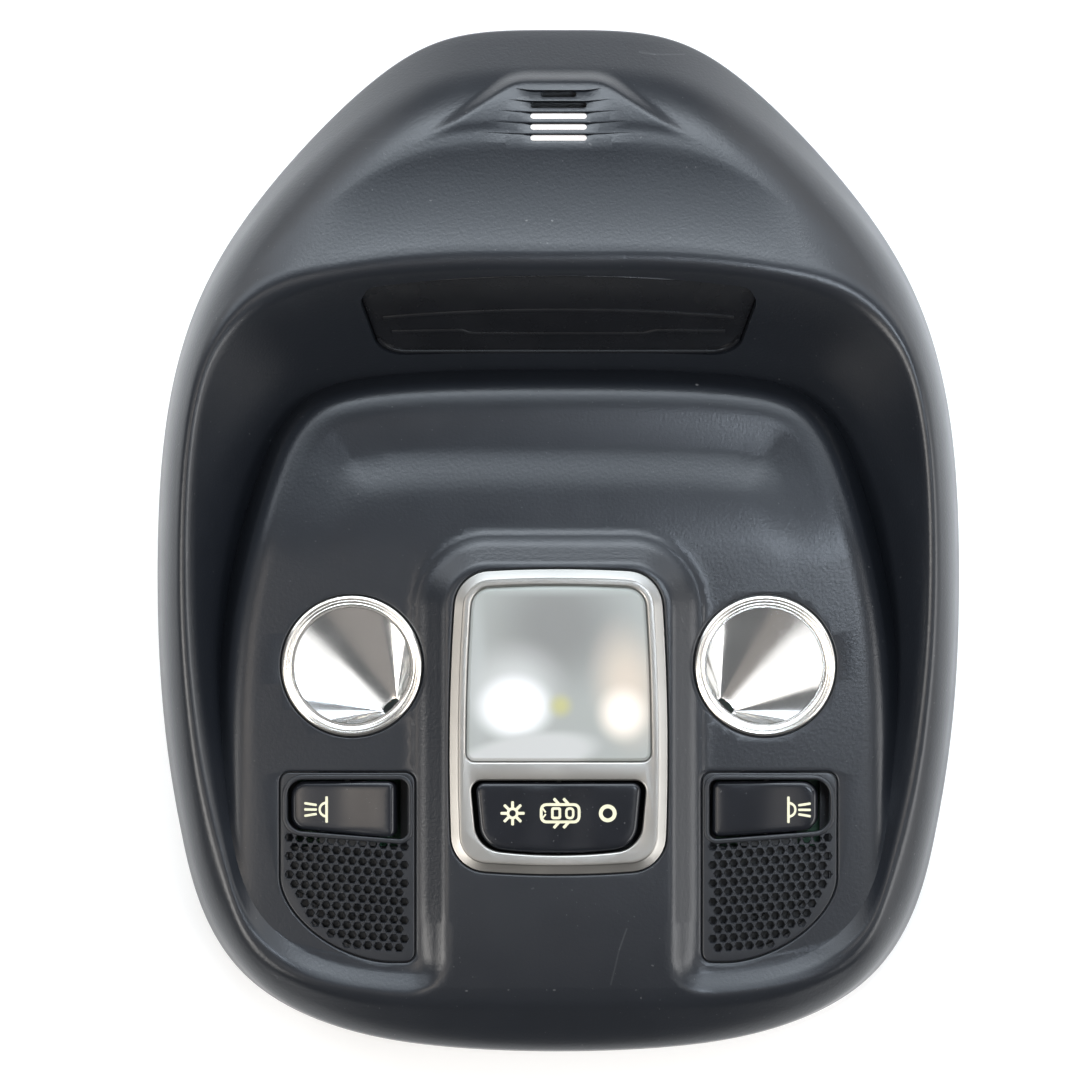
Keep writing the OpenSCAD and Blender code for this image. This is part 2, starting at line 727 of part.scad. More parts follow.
// Skewed mirror cone: its narrow end lies low, towards the console's middle
apex = [0.217 * ring_d, -0.217 * ring_d];
apex_r = 0.097 * ring_d;
mirror_top = lens_seat - lens_lip;
mirror_r = lens_d / 2 - 0.5;
module mirror_cone(s, shrink, foot, top) {
    hull() {
        translate([s * lamp_x, lamp_y, top]) cylinder(h = 0.01, r = mirror_r - shrink, $fn = 64);
        translate([s * (lamp_x - apex[0]), lamp_y + apex[1], foot])
            cylinder(h = 0.01, r = apex_r - shrink / 2, $fn = 32);
    }
}
module lamp_reflector(s) {
    color([0.82, 0.82, 0.82])
    difference() {
        mirror_cone(s, 0, led_top + 0.5, mirror_top - 0.01);
        mirror_cone(s, 1, led_top + 0.4, mirror_top + 0.1);
    }
}
module left_reflector() {
    lamp_reflector(-1);
}
module right_reflector() {
    lamp_reflector(1);
}
module left_led() {
    color([0.95, 0.85, 0.35]) led(-lamp_x + apex[0], lamp_y + apex[1]);
}
module right_led() {
    color([0.95, 0.85, 0.35]) led(lamp_x - apex[0], lamp_y + apex[1]);
}

// Grille holes: rows parallel to the rocker opening's lower edge, kept inside a margin
cell_row = cell_pitch * 0.885;
cell_rows = 12;
grille_top = side_slot_y - side_slot_l / 2 - 1.9;
module grille_cells() {
    for (j = [0:cell_rows - 1], i = [-1:13]) {
        shift = (j % 2) * cell_pitch / 2;
        x = insert_x + 2.6 + i * cell_pitch + shift;
        y = grille_top - j * cell_row + (x - insert_x) * tan(side_slope);
        reach = (insert_y - insert_l + sweep_l - y) / sweep_l;
        span = reach < 0 ? insert_w : sweep_x + (insert_w - sweep_x) * pow(max(0, 1 - pow(min(1, reach), 1.74)), 0.575);
        if (x > insert_x + 1.8 && x < insert_x + span - 2 && y > insert_y - insert_l + 2.2)
            translate([x, y]) circle(d = cell_d, $fn = 6);
    }
}

// Right-hand switch insert: frame round the rocker, grille plate and pivot walls
side_rocker_z = floor_z - 0.3;
side_pivot_z = side_rocker_z - rocker_h;
pivot_block_w = 14;
module pivot_block(grow) {
    w = pivot_block_w + 2 * grow;
    l = side_slot_l + 2 * pivot_wall + 2 * grow;
    translate([side_slot_x - w / 2, side_slot_y - l / 2, side_pivot_z - 2.2])
        cube([w, l, floor_z - insert_t + grow - side_pivot_z + 2.2]);
}
module switch_insert() {
    skirt = side_pivot_z - 2.2;
    color([0.06, 0.06, 0.065])
    difference() {
        union() {
            translate([0, 0, floor_z - insert_t]) linear_extrude(insert_t)
                difference() {
                    insert_outline(0);
                    grille_cells();
                }
            translate([0, 0, floor_z - 0.01]) linear_extrude(0.4)
                difference() {
                    side_slot_outline(1.2, side_slot_w);
                    side_slot_outline(0, side_slot_w);
                }
            pivot_block(0);
        }
        translate([0, 0, skirt - 1]) linear_extrude(30) side_slot_outline(0, side_slot_w);
        translate([side_slot_x, side_slot_y + side_slot_l / 2 + pivot_wall + 1, side_pivot_z])
            rotate([90, 0, 0]) cylinder(h = side_slot_l + 2 * pivot_wall + 2, r = pivot_r + pivot_fit, $fn = 48);
    }
}
module right_switch_insert() {
    switch_insert();
}
module left_switch_insert() {
    mirror([1, 0, 0]) switch_insert();
}

// Rocker blank about its pivot: dished face, hollow back and two pivot stubs
skin = 1.4;
rocker_depth = 6.4;
dish_rise = 0.4;
switch_reach = 8;
switch_gap = 0.3;
module dish(h) {
    translate([0, 60, h + dish_r]) rotate([90, 0, 0]) cylinder(h = 120, r = dish_r, $fn = 240);
}

// Symbols in plan, drawn about their own middle
module sun_symbol() {
    difference() {
        circle(1.25, $fn = 32);
        circle(0.7, $fn = 32);
    }
    for (a = [0:45:315])
        rotate(a) translate([2.35, 0]) square([1.5, 0.5], center = true);
}
module ring_symbol() {
    difference() {
        circle(2.2, $fn = 32);
        circle(1.3, $fn = 32);
    }
}
module car_symbol() {
    difference() {
        rounded_box(10, 4.4, 1.6);
        rounded_box(9, 3.4, 1.2);
    }
    for (x = [-1, 2])
        translate([x, 0]) difference() {
            square([2.2, 2.6], center = true);
            square([1.3, 1.7], center = true);
        }
    for (s = [-1, 1], x = [-0.6, 1.6])
        translate([x, s * 2.9]) rotate(s * 40) square([2.6, 0.5], center = true);
}
module lamp_symbol() {
    translate([2, 0]) square([0.5, 6.2], center = true);
    difference() {
        intersection() {
            translate([2, 0]) circle(1.7, $fn = 32);
            translate([-1, -3]) square([3, 6]);
        }
        translate([2, 0]) circle(1.15, $fn = 32);
    }
    for (s = [-1, 0, 1])
        translate([-1.4, s * 1.6]) rotate(s * -12) square([2.4, 0.5], center = true);
}

module centre_rocker_face(grow) {
    translate([0, -centre_slot_y]) intersection() {
        centre_slot_outline(-rocker_gap + grow);
        translate([-centre_rocker_w / 2 - grow, centre_slot_y - 20]) square([centre_rocker_w + 2 * grow, 40]);
    }
}
module side_rocker_face(grow) {
    translate([-side_slot_x, -side_slot_y])
        side_slot_outline(-rocker_gap + grow, side_rocker_w + 2 * rocker_gap);
}

// Solid under the dished face with the outline of its children, and the room inside it
module rocker_block(h) {
    difference() {
        translate([0, 0, h - rocker_depth]) linear_extrude(rocker_depth + dish_rise) children();
        dish(h);
    }
}
module rocker_hollow(h) {
    translate([0, 0, h - rocker_depth - 1]) linear_extrude(rocker_depth + 1 - skin - dish_rise) children();
}

module centre_rocker_marks() {
    translate([-11.4, 0]) sun_symbol();
    translate([0.4, 0]) car_symbol();
    translate([12.2, 0]) ring_symbol();
}
module centre_rocker() {
    color([0.07, 0.07, 0.075])
    translate([0, centre_slot_y, centre_pivot_z]) {
        difference() {
            rocker_block(rocker_h) centre_rocker_face(0);
            rocker_hollow(rocker_h) centre_rocker_face(-1.4);
            symbol_layer(rocker_h) centre_rocker_marks();
        }
        pivot_post(-centre_slot_l / 2, centre_slot_l / 2);
    }
}

// Layer of symbol_t below the dished face, cut to the outline of its children
module symbol_layer(h) {
    difference() {
        translate([0, 0, h - 2]) linear_extrude(2 + dish_rise) children();
        dish(h);
        translate([0, 0, -symbol_t])
            difference() {
                translate([-30, -30, h - 3]) cube([60, 60, 3 + dish_rise]);
                dish(h);
            }
    }
}

// Web under the face that carries the pivot stubs, between the walls at low and high,
// and the two pegs that press the switches
module pivot_post(low, high) {
    reach = 1;
    foot = low + rocker_gap;
    l = high - low - 2 * rocker_gap;
    translate([-1.8, foot + 1.2, -0.2]) cube([3.6, l - 2.4, rocker_h - skin]);
    translate([-1.8, foot, -0.2]) cube([3.6, l, 3]);
    translate([0, high + reach, 0]) rotate([90, 0, 0]) cylinder(h = high - low + 2 * reach, r = pivot_r, $fn = 48);
    for (x = [-switch_reach, switch_reach])
        translate([x, 0, rocker_h - rocker_depth]) cylinder(h = rocker_depth - skin, r = 1.4, $fn = 32);
}

module centre_rocker_symbols() {
    color([0.8, 0.78, 0.66])
    translate([0, centre_slot_y, centre_pivot_z]) symbol_layer(rocker_h) centre_rocker_marks();
}

// Side rocker on the right-hand side for s = 1, on the left for s = -1; both stand with
// their left-hand end pressed in
module side_place(s) {
    translate([s * side_slot_x, side_slot_y, side_pivot_z])
        rotate([0, -rest_tilt, 0]) mirror([s < 0 ? 1 : 0, 0, 0]) children();
}
module side_mark() {
    translate([side_rocker_w / 2 - 4.8, 0]) rotate(180) lamp_symbol();
}
module side_rocker(s) {
    color([0.07, 0.07, 0.075])
    side_place(s) {
        difference() {
            rocker_block(rocker_h) side_rocker_face(0);
            rocker_hollow(rocker_h) side_rocker_face(-1.4);
            symbol_layer(rocker_h) side_mark();
        }
        pivot_post(-side_slot_l / 2 + side_slot_w / 2 * tan(side_slope), side_slot_l / 2);
    }
}
module side_rocker_symbol(s) {
    color([0.8, 0.78, 0.66])
    side_place(s) symbol_layer(rocker_h) side_mark();
}
module left_rocker() {
    side_rocker(-1);
}
module right_rocker() {
    side_rocker(1);
}
module left_rocker_symbol() {
    side_rocker_symbol(-1);
}
module right_rocker_symbol() {
    side_rocker_symbol(1);
}

// Lamp housing: deck and side wall in one, with screw posts
low_chamfer = [29, 21];
high_chamfer = [15, 12];
module housing_outline(grow) {
    offset(grow + 6, $fn = 32) offset(-6) polygon([
        [-housing_half_w + high_chamfer[0], housing_top], [housing_half_w - high_chamfer[0], housing_top],
        [housing_half_w, housing_top - high_chamfer[1]], [housing_half_w, housing_foot + low_chamfer[1]],
        [housing_half_w - low_chamfer[0], housing_foot], [-housing_half_w + low_chamfer[0], housing_foot],
        [-housing_half_w, housing_foot + low_chamfer[1]], [-housing_half_w, housing_top - high_chamfer[1]]]);
}
module lamp_housing() {
    color([0.12, 0.12, 0.13])
    difference() {
        union() {
            translate([0, 0, module_z + deck_t]) linear_extrude(floor_z - wall - module_z - deck_t)
                difference() {
                    housing_outline(0);
                    housing_outline(-housing_wall);
                }
            translate([0, 0, deck_z - deck_t]) linear_extrude(deck_t)
                difference() {
                    housing_outline(-0.5);
                    for (s = [-1, 1])
                        translate([s * (lamp_x - apex[0] * 0.8), lamp_y + apex[1] * 0.8])
                            circle(ring_d / 2 - 6.5, $fn = 64);
                    window_outline(0.5);
                    translate([0, centre_slot_y]) square([30, 12], center = true);
                    for (s = [-1, 1])
                        translate([s * side_slot_x, side_slot_y])
                            square([26, side_slot_l + 2 * pivot_wall + 1], center = true);
                }
            for (p = screw_places)
                translate([p[0], p[1], module_z + deck_t])
                    cylinder(h = deck_z - module_z - deck_t, r = boss_r, $fn = 48);
        }
        for (p = screw_places)
            translate([p[0], p[1], module_z]) cylinder(h = 30, r = screw_r + 0.3, $fn = 48);
        translate([0, 0, floor_z - wall - 4]) linear_extrude(20) square([2 * column_w, 300], center = true);
    }
}

module circuit_board() {
    color([0.1, 0.32, 0.16])
    translate([0, 0, board_z - board_t]) linear_extrude(board_t)
        difference() {
            housing_outline(-housing_wall - 0.4);
            for (p = screw_places)
                translate(p) circle(boss_r + 0.4, $fn = 48);
        }
}

// Push switch on the board: body and plunger
module push_switch(x, y, top) {
    translate([x, y, board_z]) {
        translate([-3, -3, 0]) cube([6, 6, 3.2]);
        cylinder(h = top - board_z, r = 1.6, $fn = 32);
    }
}
function switch_top(pivot_z, tilt) =
    pivot_z + (rocker_h - rocker_depth) * cos(tilt) - (switch_reach + 1.4) * sin(tilt) - switch_gap;
module side_switch(s) {
    push_switch(s * side_slot_x - switch_reach, side_slot_y, switch_top(side_pivot_z, rest_tilt));
}
module left_switch() {
    color([0.1, 0.1, 0.1]) side_switch(-1);
}
module right_switch() {
    color([0.1, 0.1, 0.1]) side_switch(1);
}
module centre_switches() {
    color([0.1, 0.1, 0.1])
    for (s = [-1, 1])
        push_switch(s * switch_reach, centre_slot_y, switch_top(centre_pivot_z, centre_tilt));
}

module microphone(s) {
    color([0.2, 0.2, 0.2])
    translate([s * (housing_half_w - 23), insert_y - insert_l + 12.8, deck_z]) cylinder(h = 5, r = 5, $fn = 64);
}
module left_microphone() {
    microphone(-1);
}
module right_microphone() {
    microphone(1);
}

// Connector header on the back of the board, open to the rear
header = [26, 10, 10];
header_wall = 1.4;
header_up = 42;
header_y = round_end + header_up;
header_pins = 6;
module connector_header() {
    color([0.85, 0.85, 0.8])
    translate([-header[0] / 2, header_y - header[1] / 2, board_z - board_t - header[2]])
        difference() {
            cube(header);
            translate([header_wall, header_wall, -1])
                cube([header[0] - 2 * header_wall, header[1] - 2 * header_wall, header[2]]);
        }
}
module connector_pins() {
    color([0.8, 0.7, 0.4])
    for (i = [0:header_pins - 1], s = [-1, 1])
        translate([(i - (header_pins - 1) / 2) * 3.4 - 0.3, header_y + s * 1.8 - 0.3, board_z - board_t - 5.5])
            cube([0.6, 0.6, 4.5]);
}

// Rear cover with the locating pins and the opening for the connector
module rear_cover() {
    color([0.12, 0.12, 0.13])
    difference() {
        union() {
            translate([0, 0, module_z]) linear_extrude(deck_t) housing_outline(0);
            for (s = [-1, 1])
                translate([s * (housing_half_w - pin_inset), bezel_y, module_z - pin_l])
                    cylinder(h = pin_l, r = pin_r, $fn = 48);
        }
        translate([0, header_y, module_z]) cube([header[0] + 1, header[1] + 1, 10], center = true);
        for (p = screw_places)
            translate([p[0], p[1], module_z - 1]) cylinder(h = 5, r = screw_r + 0.3, $fn = 48);
    }
}

// Screws through the cover and the housing into the shell's bosses
screw_head_h = 2.4;
screw_bite = 4.5;
module module_screws() {
    color([0.6, 0.6, 0.58])
    for (p = screw_places)
        translate([p[0], p[1], module_z]) {
            translate([0, 0, -screw_head_h]) cylinder(h = screw_head_h, r = 2 * screw_r, $fn = 48);
            translate([0, 0, -0.01]) cylinder(h = deck_z + screw_bite - module_z, r = screw_r, $fn = 48);
        }
}

// Spring clips folded over the ends of the towers
clip_l = 16;
clip_w = 8;
barb_foot = 4;
barb_z = 9;
barb_out = 3;
barb_kink = 6.4;
module roof_clip() {
    half = tower_d / 2;
    rotate([90, 0, 90]) linear_extrude(clip_w, center = true)
        polygon([[-half - clip_t, 0], [half + clip_t, 0], [half + clip_t, barb_foot],
            [half + barb_out, barb_z], [half + barb_out - clip_t, barb_z + 0.5], [half + clip_t, barb_kink],
            [half + clip_t, clip_l], [half, clip_l], [half, clip_t], [-half, clip_t], [-half, clip_l],
            [-half - clip_t, clip_l], [-half - clip_t, barb_kink], [-half - barb_out + clip_t, barb_z + 0.5],
            [-half - barb_out, barb_z], [-half - clip_t, barb_foot]]);
}
module roof_clips() {
    color([0.65, 0.65, 0.62])
    for (p = tower_places)
        translate(p) roof_clip();
}

console_shell();
recess_panel();
centre_bezel();
centre_lens();
centre_reflector();
centre_led();
centre_rocker();
centre_rocker_symbols();
left_lamp_ring();
right_lamp_ring();
left_lens();
right_lens();
left_reflector();
right_reflector();
left_led();
right_led();
left_switch_insert();
right_switch_insert();
left_rocker();
right_rocker();
left_rocker_symbol();
right_rocker_symbol();
lamp_housing();
circuit_board();
left_switch();
right_switch();
centre_switches();
left_microphone();
right_microphone();
connector_header();
connector_pins();
rear_cover();
module_screws();
roof_clips();
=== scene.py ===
import math

import bpy
import numpy as np
from mathutils import Matrix, Vector
from mathutils.bvhtree import BVHTree
from mathutils.geometry import convex_hull_2d, delaunay_2d_cdt


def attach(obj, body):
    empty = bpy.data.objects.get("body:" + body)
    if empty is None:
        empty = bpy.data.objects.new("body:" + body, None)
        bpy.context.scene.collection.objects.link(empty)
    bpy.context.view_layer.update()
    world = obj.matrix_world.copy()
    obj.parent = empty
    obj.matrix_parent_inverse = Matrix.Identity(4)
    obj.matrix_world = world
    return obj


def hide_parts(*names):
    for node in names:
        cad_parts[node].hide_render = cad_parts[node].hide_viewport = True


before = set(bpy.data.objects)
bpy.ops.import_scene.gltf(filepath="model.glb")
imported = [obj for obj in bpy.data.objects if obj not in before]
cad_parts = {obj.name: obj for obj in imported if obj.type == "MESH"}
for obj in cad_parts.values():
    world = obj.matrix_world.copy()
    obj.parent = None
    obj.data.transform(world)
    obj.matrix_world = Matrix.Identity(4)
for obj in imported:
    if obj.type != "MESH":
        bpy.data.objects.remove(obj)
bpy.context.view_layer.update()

# Console shell
# The real shell is one charcoal moulding with a fine spark-eroded grain. It carries
# every other piece: inserts drop into ledged seats and the wall is even all over.
# All sizes are in millimetres until a mesh is stored.
rim_z, rim_edge, wall, floor_z, column_z = 20.0, 2.0, 2.4, 32.0, 36.4
brow_top, plateau_top, brow_foot, edge_foot = 67.9, 38.0, -114.5, -104.5
rim_shape = [[0, 99.9], [20, 99.7], [37.3, 97.5], [56.7, 91.2], [76.5, 82.3], [89.7, 73.4], [97, 63.3],
             [99.6, 52], [99.5, 39.5], [97.4, 29.7], [94, 21.9], [88.5, 13.7], [75.5, 6.4], [51.7, 2],
             [25.8, 0.4], [0, 0]]
brow_shape = [[0, 100], [23.8, 100.1], [45.5, 99.4], [63.9, 98], [79, 95.6], [89.8, 91], [96.1, 83.9],
              [99.4, 71.6], [99.6, 53.8], [97.4, 40.2], [94.2, 28.3], [89.1, 18.1], [81.7, 7.6], [59.5, 1.3],
              [30.3, 0], [0, 0]]
edge_shape = [[0, 100], [24.7, 99.9], [47.6, 99.4], [64.3, 98.1], [74.8, 95.7], [82.2, 90.9], [87.2, 84.7],
              [92.7, 74.9], [98.4, 60.1], [99.9, 45.7], [98.1, 31.3], [95.2, 19.2], [87.1, 8.2], [65.5, 1.2],
              [34.6, 0], [0, 0]]


def ease(t):
    c = np.clip(t, 0, 1)
    return c * c * (3 - 2 * c)


def shell_loop(half, half_w, foot, top):
    right = np.array([[x * half_w / 100, foot + (top - foot) * y / 100] for x, y in half])
    p = np.concatenate([right, right[-2:0:-1] * [-1, 1]])
    return p - (np.roll(p, 1, 0) - 2 * p + np.roll(p, -1, 0)) / 6


def on_loop(c, u):
    i = np.floor(u).astype(int)
    t = (u - i)[:, None]
    n = len(c)
    return (c[(i - 1) % n] * (1 - t) ** 3 + c[i % n] * (3 * t ** 3 - 6 * t * t + 4)
            + c[(i + 1) % n] * (3 * t + 3 * t * t - 3 * t ** 3 + 1) + c[(i + 2) % n] * t ** 3) / 6


rim_loop = shell_loop(rim_shape, 100.6, -128, 128)
brow_loop = shell_loop(brow_shape, 92.2, brow_foot, brow_top)
edge_loop = shell_loop(edge_shape, 80.8, edge_foot, plateau_top)


def unit(v):
    return v / np.linalg.norm(v, axis=-1, keepdims=True)


def foot_drop(y):
    # The lower end of the face falls away in one broad curve
    t = np.maximum(-88 - y, 0) / 26.5
    return 2.2 * t * t


def brow_z(y):
    return rim_z + 16.4 + 14.1 * ease((y + 90) / (brow_top + 90)) - foot_drop(y)


def valley_z(y):
    return floor_z - 13 * ease((y + 95) / 115)


def plateau_z(y):
    return floor_z - 5 * ease((y + 4) / (plateau_top + 4))


def join_xyz(xy, z):
    return np.concatenate([xy, np.broadcast_to(z, (len(xy),))[:, None]], 1)


def section_corners(u):
    r, b, e = on_loop(rim_loop, u), on_loop(brow_loop, u), on_loop(edge_loop, u)
    d = unit(on_loop(edge_loop, u + 0.01) - on_loop(edge_loop, u - 0.01))
    gap = (3.2 + 1.6 * (e[:, 1] - edge_foot) / (plateau_top - edge_foot))[:, None]
    out = np.stack([-d[:, 1], d[:, 0]], 1) * gap
    v, f, zb, ze = e + out, e - 2.9 * out, brow_z(b[:, 1]), plateau_z(e[:, 1])
    low = ease((-104 - r[:, 1]) / 20)
    near_rim, up = (0.7 + 0.23 * low)[:, None], 0.66 - 0.21 * low
    return [join_xyz(r, rim_z), join_xyz(r, rim_z + rim_edge),
            join_xyz(r * near_rim + b * (1 - near_rim), rim_z * (1 - up) + zb * up),
            join_xyz(b, zb), join_xyz(v, valley_z(v[:, 1])), join_xyz(e, ze), join_xyz(f, ze)]


def inner_corners(c, w):
    moved = []
    for i in range(len(c)):
        a, b = [unit(np.stack([np.linalg.norm((c[j + 1] - c[j])[:, :2], axis=1), (c[j + 1] - c[j])[:, 2]], 1))
                for j in (max(0, i - 1), min(len(c) - 2, i))]
        n = np.stack([-a[:, 1] - b[:, 1], a[:, 0] + b[:, 0]], 1) / (1 + (a * b).sum(1))[:, None]
        h = unit((c[min(len(c) - 1, max(2, i + 1))] - c[max(0, i - 1)])[:, :2])
        moved.append(c[i] - w * np.stack([n[:, 0] * h[:, 0], n[:, 0] * h[:, 1], n[:, 1]], 1))
    return moved


def bend(a, b, c, size, n, size_on=None):
    la, lc = np.linalg.norm(a - b, axis=1), np.linalg.norm(c - b, axis=1)
    p = b + unit(a - b) * np.minimum(size, 0.48 * la)[:, None]
    q = b + unit(c - b) * np.minimum(size if size_on is None else size_on, 0.48 * lc)[:, None]
    return [(p * (1 - t) + b * t) * (1 - t) + (b * (1 - t) + q * t) * t for t in np.linspace(0, 1, n + 1)]


def between(a, b, n):
    return [a + (b - a) * k / (n + 1) for k in range(1, n + 1)]


def swept(a, b, n):
    # The long slope up to the brow is slightly hollow where it is long
    sag = 1.1 * ease((np.linalg.norm(b - a, axis=1) - 12) / 20)
    return [p - np.stack([0 * sag, 0 * sag, 4 * t * (1 - t) * sag], 1)
            for p, t in zip(between(a, b, n), np.arange(1, n + 1) / (n + 1))]


# Column: the smooth union of the plateau with a flat-topped ridge that has sloping sides
column_top, column_end, column_half, column_round, column_slope = -5.8, -134.0, 28.5, 11.0, 9.0


def column_gap(x, y):
    mid, half = (column_top + column_end) / 2, (column_top - column_end) / 2
    dx = np.abs(x) - (column_half - column_round)
    dy = np.abs(y - mid) - (half - column_round)
    return np.hypot(np.maximum(dx, 0), np.maximum(dy, 0)) + np.minimum(np.maximum(dx, dy), 0) - column_round


def with_column(x, y, z):
    # The slope runs down the column's sides, turns the corner into the lower brow and
    # keeps falling past its foot, so that it never fills the valley
    side_gap = column_gap(x, y) + 1.4
    brow_gap = y - brow_foot - 0.0033 * np.maximum(np.abs(x) - 28, 0) ** 2
    round_in = column_round - np.hypot(column_round - side_gap, column_round - brow_gap)
    corner = (side_gap < column_round) & (brow_gap < column_round)
    t = np.where(corner, round_in, np.minimum(side_gap, brow_gap)) / column_slope
    side = 0.6 * ease(t) + 0.4 * np.minimum(t, 1) * ease(t / 0.35) + 4 * np.maximum(t - 1, 0)
    ridge = column_z - foot_drop(y) - (column_z - floor_z) * np.where(t > 0, side, 0)
    k = 1.6
    h = np.maximum(k - np.abs(ridge - z), 0) / k
    return np.maximum(ridge, z) + h * h * k / 4


# Closed outlines in plan, all counter-clockwise
def heading(v):
    return math.atan2(v[1], v[0])


def short_turn(a, b):
    return (b - a + math.pi) % (2 * math.pi) - math.pi


def on_circle(centre, r, a):
    return centre + r * np.array([math.cos(a), math.sin(a)])


def rounded_outline(points, radii, steps=8):
    points = [np.array(p, float) for p in points]
    line = []
    for i, b in enumerate(points):
        a, c = points[i - 1], points[(i + 1) % len(points)]
        r = radii[i]
        ua, uc = unit(a - b), unit(c - b)
        half = math.acos(max(-1.0, min(1.0, float(ua @ uc)))) / 2
        if r == 0 or half > 1.5:
            line.append(b)
            continue
        t = r / math.tan(half)
        centre = b + unit(ua + uc) * r / math.sin(half)
        a0 = heading(b + ua * t - centre)
        turn = short_turn(a0, heading(b + uc * t - centre))
        line += [on_circle(centre, r, a) for a in a0 + turn * np.arange(steps + 1) / steps]
    return np.array(line)


def resample(line, step):
    p = np.concatenate([line, line[:1]])
    seg = np.linalg.norm(np.diff(p, axis=0), axis=1)
    keep = [i for i in range(len(line)) if seg[i] > 1e-6]
    out = []
    for i in keep:
        n = max(1, int(math.ceil(seg[i] / step)))
        out += [p[i] + (p[i + 1] - p[i]) * k / n for k in range(n)]
    return np.array(out)


def grown(line, d):
    if not d:
        return line
    e = unit(np.roll(line, -1, 0) - line)
    n1 = np.stack([e[:, 1], -e[:, 0]], 1)
    n0 = np.roll(n1, 1, 0)
    m = n0 + n1
    return line + d * m * 2 / (m * m).sum(1)[:, None]


def disc(x, y, r, n=96):
    a = np.arange(n) * 2 * math.pi / n
    return np.stack([x + r * np.cos(a), y + r * np.sin(a)], 1)


def arcs_outline(arcs, corner_r, grow, step=1.0):
    # Offset of a shape bounded by arcs (centre, radius), met in order counter-clockwise
    arcs = [(np.array(c, float), r) for c, r in arcs]
    pairs = list(zip(arcs, arcs[1:] + arcs[:1]))
    corners = []
    for (c0, r0), (c1, r1) in pairs:
        gap = c1 - c0
        d = np.linalg.norm(gap)
        a = (r0 * r0 - r1 * r1 + d * d) / (2 * d)
        h = math.sqrt(r0 * r0 - a * a)
        base, side = c0 + gap / d * a, np.array([-gap[1], gap[0]]) / d * h
        corners.append(min([base + side, base - side], key=np.linalg.norm))
    line = []
    total = corner_r + grow
    for i, ((c, r), (after, _)) in enumerate(pairs):
        end = corners[i]
        a0 = heading(corners[i - 1] - c)
        a1 = a0 + short_turn(a0, heading(end - c))
        a2 = a1 + short_turn(a1, heading(end - after))
        n = max(6, int(abs(a1 - a0) * (r + total) / step))
        line += [on_circle(c, r + total, t) for t in np.linspace(a0, a1, n)[:-1]]
        line += [on_circle(end, total, t) for t in np.linspace(a1, a2, 12)[:-1]]
    return np.array(line)


bezel_y, bezel_corner = -45.0, 9
bezel_arcs = [((-520, -8), 538.1), ((0, -260), 288.9), ((520, -8), 538.1), ((0, 210), 238.9)]


def bezel_line(grow, step=1.0):
    return arcs_outline(bezel_arcs, bezel_corner, grow, step) + [0, bezel_y]


insert_x, insert_y, insert_w, insert_l, sweep_x, sweep_l = 35.8, -57.8, 33.4, 47.0, 6.0, 21.0


def insert_line(grow):
    a = np.radians(np.arange(90, -0.1, -3))
    sweep = np.stack([sweep_x + (insert_w - sweep_x) * np.cos(a) ** 1.15,
                      -(insert_l - sweep_l) - sweep_l * np.sin(a) ** 1.15], 1)
    points = np.concatenate([[[0, -insert_l]], sweep, [[insert_w, 0], [0, 0]]])
    radii = [2.4] + [0] * len(sweep) + [2.4, 2.4]
    return grown(resample(rounded_outline(points, radii), 0.9) + [insert_x, insert_y], grow)


# Slot of a side rocker, whose lower edge slopes up with the grille's rows
side_slot_w, side_slot_half, side_slope = 30.2, 7.5, math.tan(math.radians(4.5))
side_slot_x, side_slot_y = insert_x + 1.6 + side_slot_w / 2, insert_y - 1.7 - side_slot_half


def side_slot_line(grow, w=side_slot_w):
    x, y = w / 2, side_slot_half
    line = rounded_outline([[-x, -y], [x, -y + w * side_slope], [x, y], [-x, y]], [2.2, 4.2, 4.2, 2.2])
    return grown(resample(line, 0.8), grow) + [side_slot_x, side_slot_y]


def on_side(line, s):
    # The right-hand outline as it is, or mirrored for the left
    return line[::-1] * [-1, 1] if s < 0 else line


# Wall frame of the recess panel and its outline in that plane
wall_low = np.array([plateau_top + 5, float(valley_z(plateau_top + 5))])
wall_high = np.array([brow_top, float(brow_z(brow_top))])
wall_angle = math.atan2(wall_high[1] - wall_low[1], wall_high[0] - wall_low[0])
wall_mid = (wall_low + wall_high) / 2
on_wall = (Matrix.Translation((0, wall_mid[0], wall_mid[1])) @ Matrix.Rotation(wall_angle, 4, "X")
           @ Matrix.Translation((0, 1.1, 0)))


def panel_line(grow, step=1.2):
    h, l = 49.0, 14.6
    half = [[h - 4.5, -l], [h, l - 8], [h - 2.2, l - 3.1], [h * 0.62, l - 1.6], [h * 0.3, l - 0.4]]
    points = half + [[0, l]] + [[-x, y] for x, y in half[::-1]]
    radii = [8, 6, 3, 0, 0, 0, 0, 0, 3, 6, 8]
    return grown(resample(rounded_outline(points, radii), step), grow)


# Louvres: slot places, and the hood that stands out over them inside an arched outline
slot_pitch, slot_h, slot_count, blind_slots = 2.75, 1.5, 5, 2
slot_place = [110.5 - slot_pitch * i for i in range(slot_count)]
slot_length = [14 * min(1, 0.63 + 0.36 * i) for i in range(slot_count)]


def slot_line(i, grow):
    w, r = slot_length[i] / 2 - slot_h / 2, slot_h / 2 + grow
    a = np.linspace(-math.pi / 2, math.pi / 2, 9)
    right = np.stack([w + r * np.cos(a), slot_place[i] + r * np.sin(a)], 1)
    return resample(np.concatenate([right, right[::-1] * [-1, 1]]), 0.8)


def depth_inside(line, p):
    a, b = line, np.roll(line, -1, 0)
    e = b - a
    rel = p[:, None] - a[None]
    t = np.clip((rel * e).sum(2) / (e * e).sum(1), 0, 1)
    near = np.linalg.norm(rel - t[..., None] * e, axis=2).min(1)
    return np.where(inside(line, p), near, -near)


